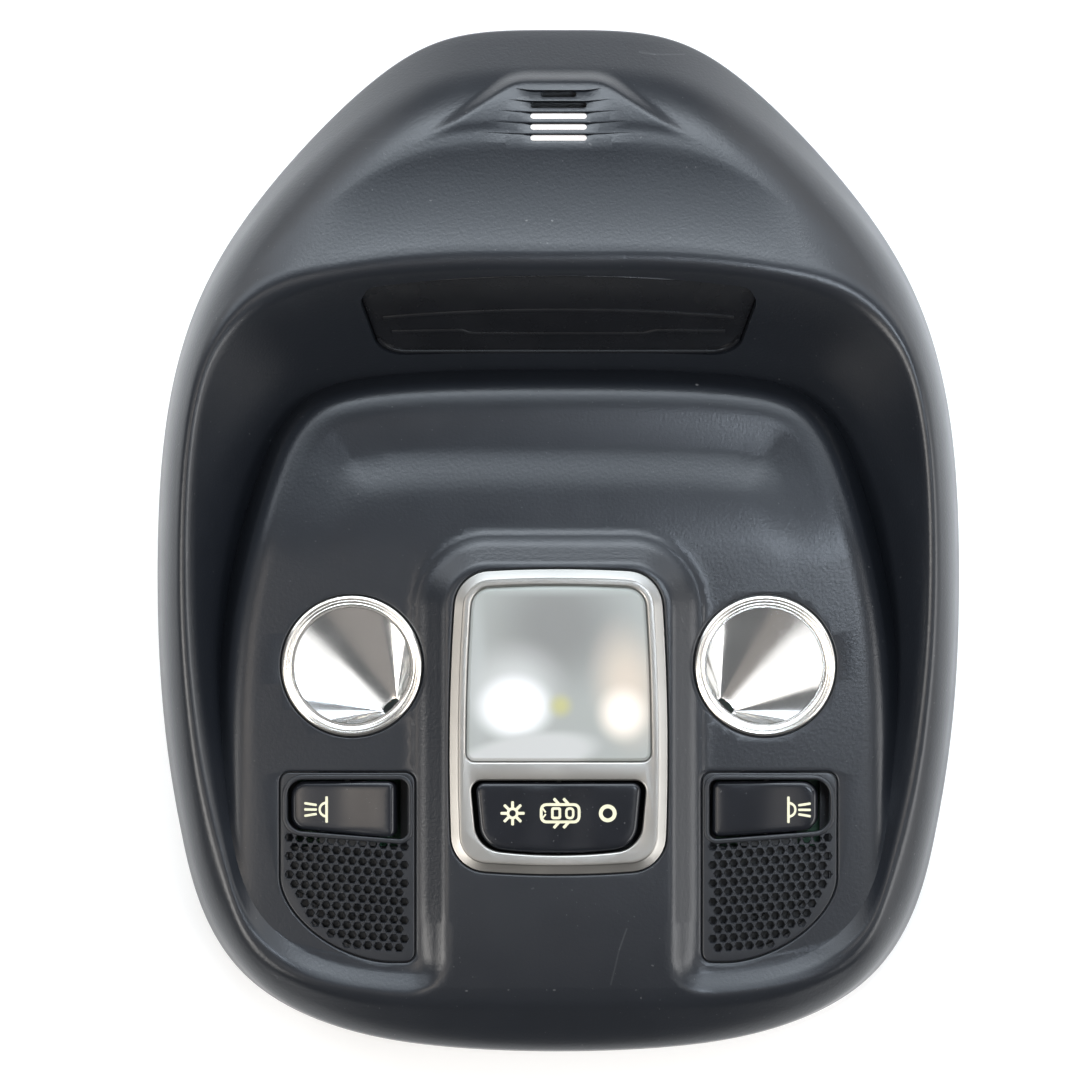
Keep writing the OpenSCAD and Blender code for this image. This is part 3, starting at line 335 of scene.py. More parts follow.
def inside(line, p):
    a, b = line, np.roll(line, -1, 0)
    hit = np.zeros(len(p), bool)
    for i in range(0, len(p), 4000):
        q = p[i:i + 4000]
        y = q[:, 1:2]
        cross = (a[:, 1] > y) != (b[:, 1] > y)
        with np.errstate(divide="ignore", invalid="ignore"):
            x = a[:, 0] + (y - a[:, 1]) * (b[:, 0] - a[:, 0]) / (b[:, 1] - a[:, 1])
        hit[i:i + 4000] = (cross & (q[:, 0:1] < x)).sum(1) % 2 == 1
    return hit


# Closed meshes from rows of points, and what the pieces need to be cut and finished
def add(name, data):
    obj = bpy.data.objects.new(name, data)
    bpy.context.scene.collection.objects.link(obj)
    return obj


def solid(name, points, faces):
    mesh = bpy.data.meshes.new(name)
    mesh.from_pydata(np.asarray(points, float).tolist(), [], faces)
    return add(name, mesh)


def row_faces(rows, n):
    k = np.arange(n)
    nxt = (k + 1) % n
    faces = []
    for a in range(0, (rows - 1) * n, n):
        faces += np.stack([a + k, a + nxt, a + n + nxt, a + n + k], 1).tolist()
    return faces


def stack(name, rows):
    n = len(rows[0])
    faces = row_faces(len(rows), n)
    faces += [list(range(n))[::-1], list(range((len(rows) - 1) * n, len(rows) * n))]
    return solid(name, np.concatenate(rows), faces)


def hoop(name, rows):
    # Closed solid whose last row joins its first
    count = len(rows) * len(rows[0])
    faces = row_faces(len(rows) + 1, len(rows[0]))
    return solid(name, np.concatenate(rows), [[i % count for i in f] for f in faces])


def turned(x, y, profile, n):
    return [join_xyz(disc(x, y, r, n), z) for r, z in profile]


def prism(name, line, z0, z1):
    return stack(name, [join_xyz(line, z0), join_xyz(line, z1)])


def flared(name, line, z0, z1, r=0.5):
    # Cutter for an opening in a flat face at z1, which leaves the opening's edge rounded
    rows = [join_xyz(line, z0)]
    for a in np.radians([0, 19, 38, 57, 75]):
        rows.append(join_xyz(grown(line, r * (1 - math.cos(a))), z1 - r * (1 - math.sin(a))))
    lip = r * (1 - math.cos(a)) + (0.15 + 0.04 * r) * math.tan(a)
    return stack(name, rows + [join_xyz(grown(line, lip), z1 + 0.15), join_xyz(grown(line, lip), z1 + 4)])


def block(name, x0, x1, y0, y1, z0, z1):
    return prism(name, np.array([[x0, y0], [x1, y0], [x1, y1], [x0, y1]], float), z0, z1)


def plain(obj):
    mesh = bpy.data.meshes.new_from_object(obj.evaluated_get(bpy.context.evaluated_depsgraph_get()))
    obj.modifiers.clear()
    old, obj.data = obj.data, mesh
    bpy.data.meshes.remove(old)
    return obj


def carve(target, operation, *tools):
    before = len(target.data.vertices)
    for tool in tools:
        m = target.modifiers.new("carve", "BOOLEAN")
        m.operation, m.solver, m.object = operation, "MANIFOLD", tool
    plain(target)
    if len(target.data.vertices) == before:
        raise RuntimeError("nothing carved from " + target.name + " by " + tools[0].name)
    for tool in tools:
        bpy.data.meshes.remove(tool.data)
    return target


def face_points(line, step, margin):
    # A hexagonal net of points inside an outline
    lo, hi = line.min(0) + margin, line.max(0) - margin
    ys = np.arange(lo[1], hi[1] + 1e-6, step * 0.866)
    net = np.array([[x + (j % 2) * step / 2, y] for j, y in enumerate(ys)
                    for x in np.arange(lo[0], hi[0], step)])
    return net[depth_inside(line, net) > margin]


def net_faces(line, points):
    everything = np.concatenate([line, points])
    n = len(line)
    edges = [(i, (i + 1) % n) for i in range(n)]
    found = delaunay_2d_cdt([Vector(p) for p in everything], edges, [list(range(n))], 1, 1e-6)
    faces, first = found[2], [o[0] for o in found[3]]
    return everything, [[first[i] for i in f] for f in faces]


def crowned(name, rows, height, step, margin=0.6):
    # Closed solid whose top face follows height(x, y) inside the last row
    n, line = len(rows[0]), rows[-1][:, :2]
    everything, top = net_faces(line, face_points(line, step, margin))
    extra, base = everything[n:], (len(rows) - 1) * n
    faces = row_faces(len(rows), n) + [list(range(n))[::-1]] + [[base + i for i in f] for f in top]
    return solid(name, np.concatenate(rows + [join_xyz(extra, height(extra[:, 0], extra[:, 1]))]), faces)


def put(obj, material, angle, body, slot, *nodes):
    # Scaled to metres, given its material, and set in the place of the nodes it draws
    obj.data.transform(Matrix.Scale(0.001, 4))
    obj.data.materials.clear()
    obj.data.materials.append(material)
    obj.data.shade_smooth()
    obj.data.set_sharp_from_angle(angle=math.radians(angle))
    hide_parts(*nodes)
    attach(obj, body)


# Node trees: one node with its settings, and what feeds its sockets
def feed(tree, sockets, feeds):
    for key, value in feeds.items():
        if isinstance(value, bpy.types.NodeSocket):
            tree.links.new(value, sockets[key])
        else:
            sockets[key].default_value = value


def add_node(tree, kind, feeds, out=0, **settings):
    node = tree.nodes.new(kind)
    for key, value in settings.items():
        setattr(node, key, value)
    feed(tree, node.inputs, feeds)
    return node.outputs[out]


class Finish:
    # A material whose patterns lie in the piece's own places; their sizes are in millimetres
    def __init__(self, name):
        self.material = bpy.data.materials.new(name)
        self.material.use_nodes = True
        self.tree = self.material.node_tree
        self.place = add_node(self.tree, "ShaderNodeTexCoord", {}, "Object")

    def shade(self, **feeds):
        named = {key.replace("_", " "): value for key, value in feeds.items()}
        feed(self.tree, self.tree.nodes["Principled BSDF"].inputs, named)
        return self.material

    def noise(self, size, detail=2.0):
        feeds = {"Vector": self.place, "Scale": 1000 / size, "Detail": detail}
        return add_node(self.tree, "ShaderNodeTexNoise", feeds, "Fac")

    def spread(self, value, lo, hi, out_lo, out_hi, **settings):
        feeds = {0: value, 1: lo, 2: hi, 3: out_lo, 4: out_hi}
        return add_node(self.tree, "ShaderNodeMapRange", feeds, **settings)

    def blend(self, factor, a, b):
        a, b = [v + (1,) if isinstance(v, tuple) else v for v in (a, b)]
        return add_node(self.tree, "ShaderNodeMix", {0: factor, 6: a, 7: b}, 2, data_type="RGBA")

    def vector(self, operation, feeds, out="Vector"):
        return add_node(self.tree, "ShaderNodeVectorMath", dict(enumerate(feeds)), out, operation=operation)

    def bump(self, height, strength, depth):
        feeds = {"Height": height, "Strength": strength, "Distance": depth / 1000}
        return add_node(self.tree, "ShaderNodeBump", feeds, "Normal")


# Moulded and metal finishes: a fine grain in the height, a slow drift of the colour and
# of the gloss, a few pale specks of dust, and scratches as pale lines between two places,
# which on the shell also paint a glint beside the top slots
dust_colour, scratch_and_glint_colour = (0.42, 0.42, 0.41), (0.2, 0.2, 0.2)


def finish(name, colour, rough, grain=0.35, depth=0.02, drift=0.12, dust=0.0, metal=0.0, specular=0.5,
           gloss_drift=0.06, marks=()):
    f = Finish(name)
    dark, light = [tuple(c * k for c in colour) for k in (1 - drift, 1 + drift)]
    tone = f.blend(f.spread(f.noise(14), 0.35, 0.65, 0, 1), dark, light)
    if dust:
        tone = f.blend(f.spread(f.noise(0.8, 1.0), 0.765, 0.79, 0, dust), tone, dust_colour)
    for x0, y0, x1, y1, width, strength in marks:
        start, along = Vector((x0, y0, 0)) / 1000, Vector((x1 - x0, y1 - y0, 0)) / 1000
        rel = f.vector("SUBTRACT", (f.vector("MULTIPLY", (f.place, (1, 1, 0))), start))
        share = f.vector("DOT_PRODUCT", (rel, along / along.length_squared), "Value")
        nearest = f.vector("MULTIPLY", (f.spread(share, 0, 1, 0, 1), along))
        far = f.vector("DISTANCE", (rel, nearest), "Value")
        tone = f.blend(f.spread(far, width / 4000, width / 2000, strength, 0), tone, scratch_and_glint_colour)
    gloss = f.spread(f.noise(9, 4.0), 0.3, 0.7, rough - gloss_drift, rough + gloss_drift)
    return f.shade(Base_Color=tone, Roughness=gloss, Metallic=metal, Specular_IOR_Level=specular,
                   Normal=f.bump(f.noise(grain, 3.0), 0.6, depth))


# Shell face as rows along the stations; the stations lie closer round the louvres
u = np.concatenate([np.linspace(-2.3, 2.3, 171), np.linspace(2.3, 27.7, 402)[1:-1]])[::-1] % 30
around = len(u)
c = section_corners(u)
inward = np.concatenate([unit((c[3] - c[0])[:, :2]), np.zeros((around, 1))], 1)
edge_bend = bend(c[0], c[1], c[2], 0.9, 4)
shoulder_bend = bend(c[1], c[2], c[3], 12, 28)
crest_size = 3.4 + 2.6 * ease((np.abs(c[3][:, 0]) - 50) / 30)
brow_bend = bend(c[2], c[3], c[4], crest_size, 16)
plateau_bend = bend(c[4], c[5], c[6], 4.2, 14, 9)
rows = [c[0] + inward * 0.5, c[0] + inward * 0.15 + [0, 0, 0.15], c[0] + [0, 0, 0.5]]
rows += edge_bend + between(edge_bend[-1], shoulder_bend[0], 3) + shoulder_bend
rows += swept(shoulder_bend[-1], brow_bend[0], 12)
crest = len(rows)
rows += brow_bend + between(brow_bend[-1], c[4], 12) + [c[4]]
rows += between(c[4], plateau_bend[0], 2) + plateau_bend + [c[6]]
grid = np.array(rows)
ring_base = grid[-1, :, 2].copy()
over_crest = ease((np.arange(len(grid)) - crest) / len(brow_bend))[:, None]
grid[..., 2] += over_crest * (with_column(grid[..., 0], grid[..., 1], grid[..., 2]) - grid[..., 2])
row_count = len(grid)
ring = grid[-1, :, :2]
net = face_points(ring, 2.3, 1.2)
gap = column_gap(net[:, 0], net[:, 1])
net = [net[(gap < -2) | (gap > 8.2)]]
column_line = rounded_outline([[-column_half, column_end], [column_half, column_end], [column_half, column_top],
                               [-column_half, column_top]], [column_round] * 4, 12)
for d in np.arange(-1.6, 8.1, 0.6):
    line = resample(grown(column_line, d), 1.7)
    net.append(line[depth_inside(ring, line) > 0.8])
net = np.concatenate(net)
everything, top_faces = net_faces(ring, net)
near = np.array([((ring - p) ** 2).sum(1).argmin() for p in net])
reach = 1 - ease(np.linalg.norm(ring[near] - net, axis=1) / 12)
net_z = plateau_z(net[:, 1]) + reach * (ring_base - plateau_z(ring[:, 1]))[near]
net_z = with_column(net[:, 0], net[:, 1], net_z)

# Hood: the face moved up and outwards inside an arch, blended in over its edge
arch = np.concatenate([disc(s * x, y, r, 64) for x, y, r in ((7.5, 103.5, 12), (35, 96, 1.5)) for s in (-1, 1)])
arch = arch[convex_hull_2d([Vector(p) for p in arch])]
flat = grid.reshape(-1, 3)
under = BVHTree.FromPolygons(flat.tolist(), row_faces(row_count, around))


def face_z(tree, x, y):
    hit = tree.ray_cast(Vector((x, y, 90)), Vector((0, 0, -1)))[0]
    return hit.z if hit else 0.0


x, y, z = flat.T
near_arch = np.where((np.abs(x) < 38) & (y > 93) & (y < 118) & (z > 30))[0]
inside_arch = depth_inside(arch, flat[near_arch, :2])
lift = np.array([max(0.0, face_z(under, x, y - 5.6) - 1.25 - z) for x, y, z in flat[near_arch]])
flat[near_arch, 2] += lift * ease((inside_arch + 1.2) / 3.2)
# Both faces are closed by a point below the valley, so that no flat underside clips it
front_foot, inner_foot = rim_z - 10, rim_z - 15
base = (row_count - 1) * around
points = np.concatenate([flat, join_xyz(net, net_z), [[0, 0, front_foot]]])
faces = row_faces(row_count, around) + [[base + i for i in f] for f in top_faces]
faces += [[(k + 1) % around, k, len(points) - 1] for k in range(around)]
front = solid("console_shell", points, faces)
skin = BVHTree.FromPolygons(points.tolist(), faces)

# Inner face of the moulding, with room below the column
ui = np.linspace(30, 0, 181)[:-1]
ci = inner_corners(section_corners(ui), wall)
low_bend, high_bend = bend(ci[1], ci[2], ci[3], 12, 5), bend(ci[2], ci[3], ci[4], 4.6, 4)
rows = [ci[0] * [1, 1, 0] + [0, 0, inner_foot], ci[1]] + low_bend
rows += swept(low_bend[-1], high_bend[0], 3) + high_bend
rows += bend(ci[3], ci[4], ci[5], 6, 4) + bend(ci[4], ci[5], ci[6], 4, 4) + [ci[6]]
middle = np.array([0.0, -35.0])
for s in (0.88, 0.72, 0.5, 0.26):
    xy = middle + (ci[6][:, :2] - middle) * s
    rows.append(join_xyz(xy, plateau_z(xy[:, 1]) - wall))
n = len(ui)
last = (len(rows) - 1) * n
points = np.concatenate(rows + [[[*middle, float(plateau_z(middle[1])) - wall], [*middle, inner_foot]]])
faces = row_faces(len(rows), n) + [[last + k, last + (k + 1) % n, last + n] for k in range(n)]
faces += [[(k + 1) % n, k, last + n + 1] for k in range(n)]
inner = solid("inner", points, faces)
high, low = bezel_y - 37.9 - 4, -111.8
hollow = stack("hollow", [join_xyz(np.array([[-w, low], [w, low], [w, high], [-w, high]], float), z)
                          for w, z in ((column_half, 24.0), (24.6, column_z - wall - 2.4))])

# What stands inside the moulding: clip towers, screw bosses, a rib behind the short
# slots and the backing of the recess panel
tower_places = [(-46, 92), (46, 92), (-64, -106), (64, -106)]
screw_places = [(-33, -17.7), (33, -17.7), (-22, -97), (22, -97)]
tower_half_w, tower_half_d = 6, 3.5
deck_z, seat_depth, seat_gap, ledge = 22.0, 1.6, 0.3, 1.8


def towers(top):
    return [block("tower", x - tower_half_w, x + tower_half_w, y - tower_half_d, y + tower_half_d, 0.6, top)
            for x, y in tower_places]


def insert_room(grow, s, z0, z1, low_y, high_y):
    # The part of a switch insert's outline that lies between two places
    room = prism("room", on_side(insert_line(grow), s), z0, z1)
    return carve(room, "INTERSECT", block("between", -90, 90, low_y, high_y, 10, 50))


body = add("body", front.data.copy())
extras = towers(60) + [prism("boss", disc(x, y, 3.4, 32), deck_z, 52) for x, y in screw_places]
extras += [block("rib", -9, 9, slot_place[1] - 1.375, slot_place[0] + 1.375,
                 face_z(skin, 0, slot_place[0]) - 9, 60)]
extras += [insert_room(seat_gap, s, 27.4, 31, -130, side_slot_y - 8) for s in (1, -1)]
backing = prism("backing", panel_line(2.5, 3), -5.4, 0)
backing.data.transform(on_wall)
extras.append(backing)
inside_parts = carve(extras[0], "UNION", *extras[1:])
carve(inside_parts, "INTERSECT", body)
carve(front, "DIFFERENCE", inner, hollow)
carve(front, "UNION", inside_parts, *towers(21))

# Openings: seats with a ledge, the pivot walls of the inserts, screw holes
ring_d, lamp_x, lamp_y = 35.0, 51.4, -31.2
cuts = [flared("seat", bezel_line(seat_gap), column_z - 1.8, column_z, 0.45),
        prism("hole", bezel_line(-ledge), 22, 45)]
for s in (-1, 1):
    lamp_seat = disc(s * lamp_x, lamp_y, ring_d / 2 + seat_gap, 128)
    cuts += [flared("seat", lamp_seat, floor_z - seat_depth, floor_z),
             prism("hole", disc(s * lamp_x, lamp_y, ring_d / 2 - ledge, 96), 20, 40),
             insert_room(-ledge, s, 28.3, 40, -130, side_slot_y - 9),
             prism("sound", disc(s * 50, -92, 2, 32), 20, 40),
             flared("seat", on_side(insert_line(seat_gap), s), floor_z - seat_depth, floor_z),
             insert_room(-ledge, s, 20, 40, side_slot_y - 9.4, 0),
             block("pivot", s * side_slot_x - 7.3, s * side_slot_x + 7.3, side_slot_y - 9.4, side_slot_y + 9.4,
                   21.2, floor_z - 1.3)]
seat = prism("seat", panel_line(0.16), -2, 10)
seat.data.transform(on_wall)
cuts.append(seat)
cuts += [prism("screw", disc(x, y, 1.8, 24), deck_z - 1, deck_z + 5) for x, y in screw_places]
carve(front, "DIFFERENCE", *cuts)

# Louvres: each blade falls away behind the one above it, and the step fades out sideways
for i in range(slot_count):
    y0, half = slot_place[i] + 1.05, 11 + 2.8 * i
    xs = np.linspace(-half, half, 61)
    fade = 0.5 * ease((half - np.abs(xs)) / (half - 9)) + 0.5 * ease((9.5 - np.abs(xs)) / 3)
    ys = y0 + 0.45 * ease((np.abs(xs) - 6) / (half - 6))
    rows = []
    for x, y, f in zip(xs, ys, fade):
        low_y = y - slot_pitch + 0.2
        top_z, low_z = face_z(skin, x, y), face_z(skin, x, low_y)
        rows.append(np.array([[x, y, top_z - 0.8 * f + 0.02], [x, y + 0.02, top_z + 5], [x, low_y, low_z + 5],
                              [x, low_y, low_z + 0.02]]))
    carve(front, "DIFFERENCE", stack("blade", rows))
slots = [prism("slot", slot_line(i, 0), face_z(skin, 0, slot_place[i]) - 4.8 if i < blind_slots else 16, 60)
         for i in range(slot_count)]
carve(front, "DIFFERENCE", *slots)
shell_marks = [(16.9, -96.4, 15.1, -101.5, 0.5, 0.1), (15.1, -101.5, 13.0, -110.3, 0.5, 0.07),
               (20.2, 121.9, 24.0, 121.3, 0.6, 0.1), (24.0, 121.3, 31.5, 121.5, 0.5, 0.08),
               (-51.8, 99.1, -36.0, 99.3, 0.5, 0.03), (-36.0, 99.3, -21.9, 96.6, 0.5, 0.03),
               # These two short pale strokes beside the left ends of the top two slots are a painted glint
               (-9.8, 109.4, -7.6, 109.6, 1.0, 0.12), (-9.4, 107.3, -7.9, 107.3, 0.7, 0.08),
               (7.4, 103.6, 7.7, 103.4, 0.6, 0.2), (7.6, 98.0, 8.0, 97.7, 0.6, 0.2),
               (-31.7, 83.8, -31.4, 83.8, 0.4, 0.3), (-8.0, 78.8, -7.8, 78.8, 0.5, 0.4),
               (-1.7, 78.8, -1.5, 78.7, 0.5, 0.4), (34.5, 39.0, 34.8, 38.9, 0.6, 0.5),
               (-23.0, -111.9, -22.7, -111.9, 0.5, 0.25), (-1.2, -111.7, -0.9, -111.7, 0.5, 0.25),
               (23.2, -105.5, 23.5, -105.6, 0.5, 0.2), (-6.6, -86.4, -6.2, -86.3, 0.5, 0.15)]
charcoal = finish("charcoal grain", (0.0095, 0.0111, 0.0145), 0.31, 0.75, 0.07, 0.04, 0.1,
                  gloss_drift=0.015, marks=shell_marks)
put(front, charcoal, 33, "console", "charcoal_shell", "console_shell")

# Recess panel
# The real one is a black moulded panel that snaps into its seat in the recess wall,
# with two raised lines across it and a rolled lower edge. It is made in its own plane.
def bead(name, path, width, height):
    path = np.asarray(path, float)
    along = unit(np.gradient(path, axis=0))
    left = np.stack([-along[:, 1], along[:, 0]], 1)
    profile = [(-0.5, -0.3), (0.5, -0.3), (0.5, height * 0.45), (0.36, height * 0.85), (0.14, height),
               (-0.14, height), (-0.36, height * 0.85), (-0.5, height * 0.45)]
    return stack(name, [np.array([[*(p + n * width * a), z] for a, z in profile]) for p, n in zip(path, left)])


def softened(line, low, high, r):
    # Rows of an upright wall with a rounded upper edge
    rows = [join_xyz(line, low), join_xyz(line, high - r)]
    for a in np.linspace(0, math.pi / 2, 5)[1:]:
        rows.append(join_xyz(grown(line, -r * (1 - math.cos(a))), high - r + r * math.sin(a)))
    return rows


panel = stack("recess_panel", softened(panel_line(0), -2, 0, 0.5))
xs = np.linspace(-43.5, 43.5, 90)
arched = np.stack([xs, -318 + np.sqrt(319.6 ** 2 - xs ** 2)], 1)
stepped = [[-41.5, -6.6], [-30, -6.3], [-24.6, -6.2], [-23.6, -6.4], [-22.6, -7.1], [-21.4, -7.3], [-10, -7.4],
           [10, -7.4], [20.8, -7.3], [22.2, -7.1], [24, -6.4], [25, -6.2], [30, -6.3], [41.5, -6.7]]
low_edge = panel_line(-0.75)
low_edge = low_edge[low_edge[:, 1] < -8]
low_edge = low_edge[low_edge[:, 0].argsort()][1:-1]
carve(panel, "UNION", bead("line", arched, 1.5, 0.42), bead("line", stepped, 1.4, 0.42),
      bead("lip", low_edge, 1.1, 0.75))
panel.data.transform(on_wall)
panel_black = finish("panel black", (0.007, 0.0075, 0.009), 0.27, 0.3, 0.008, 0.1, 0.04)
put(panel, panel_black, 33, "console", "black_plastic", "recess_panel")


# Centre bezel
# The real one is a die-cast frame in satin silver with a polished bevel all round. It
# drops into the column's seat and carries the pivot walls of the centre rocker.
bezel_z, bezel_t, centre_slot_y, centre_pivot_z = 36.8, 2.2, -69.3, 28.2
window_foot, bore_r = -54.9, 1.25


def window_line(grow):
    # The bezel's own outline drawn in, cut off straight below
    side = bezel_line(-4.1, 0.8)
    corner_x = np.abs(side[np.abs(side[:, 1] - window_foot).argmin(), 0])
    upper = side[side[:, 1] > window_foot + 3]
    k = int(np.argmax(np.linalg.norm(upper - np.roll(upper, 1, 0), axis=1)))
    line = np.concatenate([[[-corner_x, window_foot], [corner_x, window_foot]], np.roll(upper, -k, 0)])
    return grown(resample(rounded_outline(line, [2.2, 2.2] + [0] * len(upper)), 1.0), grow)


def centre_slot_line(grow, half=21.9):
    xs = np.linspace(9.1 - half, half - 9.1, 15)
    bottom = np.stack([xs, 120 - np.sqrt(128.8 ** 2 - xs ** 2)], 1)
    line = np.concatenate([[[-half + 1.6, -7.3]], bottom, [[half - 1.6, -7.3], [half, 9.7], [-half, 9.7]]])
    line = resample(rounded_outline(line, [7] + [0] * 15 + [7, 2.6, 2.6], 10), 0.8)
    return grown(line + [0, centre_slot_y], grow)


def rod(name, x, z, y0, y1, r):
    piece = prism(name, disc(x, z, r, 32), -y1, -y0)
    piece.data.transform(Matrix.Rotation(math.pi / 2, 4, "X"))
    return piece


edge = bezel_line(0, 0.8)
rows = [join_xyz(edge, bezel_z - bezel_t)]
rows += [join_xyz(grown(edge, -inset), bezel_z - drop) for inset, drop in (
    (0, 0.95), (0.12, 0.75), (0.35, 0.66), (2.0, 0.30), (2.15, 0.22), (2.3, 0.06), (2.55, 0.0), (3.0, 0.02))]
bezel = stack("centre_bezel", rows)
carve(bezel, "UNION", block("walls", -9, 9, centre_slot_y - 10.4, centre_slot_y + 11.2, 26, 34.8))
carve(bezel, "DIFFERENCE", flared("window", window_line(0), 33, bezel_z, 0.7),
      flared("opening", centre_slot_line(0), 25, bezel_z, 0.6),
      rod("bore", 0, centre_pivot_z, centre_slot_y - 12, centre_slot_y + 12, bore_r))
satin = finish("satin silver", (0.37, 0.357, 0.335), 0.36, 0.25, 0.02, 0.04, 0, 1.0, gloss_drift=0.02)
put(bezel, satin, 25, "console", "satin_silver", "centre_bezel")


# Centre lens
# The real one is a pane with a frosted face, clipped in behind the bezel. The window light that the
# bowl behind it gathers is painted into the pane's colour: two soft bright patches of painted light,
# darker patches of painted shade, and the lamp between painted as a small yellow patch.
pane_edge = window_line(-0.12)
pane_top, painted_light_z = 36.52, 36.5
rows = [join_xyz(grown(pane_edge, grow), z) for grow, z in (
    (0.8, 33.41), (0.8, 34.58), (0, 34.58), (0, 35.9), (-0.5, 36.35), (-0.75, pane_top))]


def pane_z(x, y):
    return pane_top + 0.42 * ease(depth_inside(pane_edge, np.stack([x, y], 1)) / 16)


def frosted(name):
    f = Finish(name)
    # Patches of painted light and painted shade, and the lamp behind as a painted yellow patch: place, half
    # width and height, turn, where each starts and is full, colour
    tone = (0.27, 0.28, 0.265)
    for x, y, half_x, half_y, turn, soft, hard, colour in (
            (0, -21, 19, 17, 0, 1.3, 0.2, (0.165, 0.165, 0.158)),
            (0, -10, 32, 3, 0, 1.5, 0.2, (0.36, 0.39, 0.37)),
            (-20.5, -30, 3, 24, 2, 1.3, 0.1, (0.3, 0.31, 0.3)),
            (17, -36, 9, 16, 8, 1.25, 0.1, (0.45, 0.385, 0.32)),
            (16, -43, 7, 7.5, 0, 1.15, 0.1, (0.8, 0.72, 0.63)),
            (-11, -37, 13, 12, 20, 1.2, 0.1, (0.42, 0.42, 0.41)),
            (-11, -41.5, 10, 8.5, 0, 1.15, 0.2, (0.9, 0.9, 0.9)),
            (-8, -53.5, 19, 5.8, 9, 1.1, 0.7, (0.4, 0.4, 0.39)),
            (0.5, -41, 4, 4, 0, 1.0, 0.1, (0.36, 0.345, 0.17))):
        feeds = {"Vector": f.place, "Location": (x / 1000, y / 1000, painted_light_z / 1000),
                 "Rotation": (0, 0, math.radians(turn)), "Scale": (half_x / 1000, half_y / 1000, 0.05)}
        painted_patch = add_node(f.tree, "ShaderNodeMapping", feeds, vector_type="TEXTURE")
        reach = f.vector("LENGTH", (painted_patch,), "Value")
        # Each patch blends its painted colour into the pane: the bright ones are painted light, the dark ones
        # painted shade
        tone = f.blend(f.spread(reach, soft, hard, 0, 1, interpolation_type="SMOOTHSTEP"), tone, colour)
    frost = f.noise(1 / 2.6)
    return f.shade(Base_Color=tone, Roughness=f.spread(frost, 0, 1, 0.36, 0.46),
                   Normal=f.bump(frost, 0.5, 0.02))


lens = crowned("centre_lens", rows, pane_z, 2.2)
put(lens, frosted("frosted pane with painted light"), 30, "console", "frosted_lens", "centre_lens")


# Reading lamps
# Each real lamp is a chromed ring turned with fine steps, a clear domed lens and a
# skewed mirror cone that runs down to its lamp on the board.
ring_profile = rounded_outline(
    [(17.5, 30.4), (17.5, 32.35), (16.9, 32.7), (16.5, 32.62), (16.35, 32.45), (16.15, 32.62), (15.75, 32.5),
     (15.6, 32.3), (15.4, 32.42), (15.05, 32.2), (15.0, 30.4), (14.55, 30.4), (14.55, 29.8), (14.7, 29.6),
     (14.7, 26.0), (15.4, 26.0), (15.4, 30.4)],
    [0, 0.3, 0.15, 0.06, 0.05, 0.08, 0.1, 0.05, 0.08, 0.12, 0, 0, 0, 0, 0, 0, 0], 3)
chrome = finish("chromed ring", (0.8, 0.77, 0.72), 0.22, 0.3, 0.004, 0.03, 0, 1.0, 0.5, 0.03)
mirror = finish("mirror coat", (0.86, 0.85, 0.83), 0.13, 0.8, 0.003, 0.02, 0, 1.0, 0.5, 0.02)


def clear(name):
    # Clear plastic: see-through face on, with a sheen that grows at a slant
    f = Finish(name)
    slant = add_node(f.tree, "ShaderNodeLayerWeight", {"Blend": 0.25}, "Facing")
    return f.shade(Base_Color=(0.5, 0.51, 0.52, 1), Alpha=f.spread(slant, 0, 1, 0.015, 0.5),
                   Roughness=f.spread(f.noise(1000 / 90), 0, 1, 0.02, 0.07))


clear_plastic = clear("clear plastic")
lens_r, lens_z = 14.5, 32.1
for s, side in ((-1, "left"), (1, "right")):
    x = s * lamp_x
    ring_piece = hoop(side + "_lamp_ring", turned(x, lamp_y, ring_profile, 160))
    put(ring_piece, chrome, 40, "console", "satin_silver", side + "_lamp_ring")
    lens_profile = ((lens_r + 0.4, 30.42), (lens_r + 0.4, 31.9), (14.8, 32.02), (lens_r, lens_z))

    def dome_z(px, py):
        return lens_z + 0.6 * (1 - ((px - x) ** 2 + (py - lamp_y) ** 2) / lens_r ** 2)

    pane = crowned(side + "_lens", turned(x, lamp_y, lens_profile, 96), dome_z, 1.8)
    put(pane, clear_plastic, 30, "console", "clear_lens", side + "_lens")
    off = np.array([-s * 9.3, -9.9])
    along = off / np.linalg.norm(off)
    across = np.array([-along[1], along[0]])
    turn = np.arange(128) * math.pi / 64

    def cone_row(t, z, skin):
        a, b = 0.75 + 13.7 * t, 2.3 + 12.15 * t
        return join_xyz(np.array([x, lamp_y]) + off * (1 - t) + np.outer(np.cos(turn), along) * (a + skin)
                        + np.outer(np.sin(turn), across) * (b + skin), z)

    path = [(0, 19.5), (0, 24.9)] + [(t, 24.9 + 4.6 * t) for t in np.linspace(0.04, 1, 12)]
    rows = [cone_row(t, z - 0.25 * t, 0.15) for t, z in path] + [cone_row(t, z, 0) for t, z in path[::-1]]
    put(hoop(side + "_reflector", rows), mirror, 50, "console", "reflector", side + "_reflector")


# Switch inserts
# Each real insert is one black moulding: a frame round the rocker's opening, a grille of
# six-sided holes over a microphone, and the pivot walls. A node tree cuts the grille.
plate_t, frame_h, side_pivot_z = 1.6, 0.4, 23.7


def grille_places():
    pitch, row, top = 2.6, 2.6 * 0.885, side_slot_y - side_slot_half - 1.9
    out = []
    for j in range(12):
        for i in range(-1, 14):
            x = insert_x + 2.6 + i * pitch + (j % 2) * pitch / 2
            y = top - j * row + (x - insert_x) * side_slope
            reach = max(0, (insert_y - insert_l + sweep_l - y) / sweep_l)
            span = sweep_x + (insert_w - sweep_x) * max(0, 1 - min(1, reach) ** 1.74) ** 0.575
            if insert_x + 1.8 < x < insert_x + span - 2 and y > insert_y - insert_l + 2.2:
                out.append((x, y, floor_z))
    return out


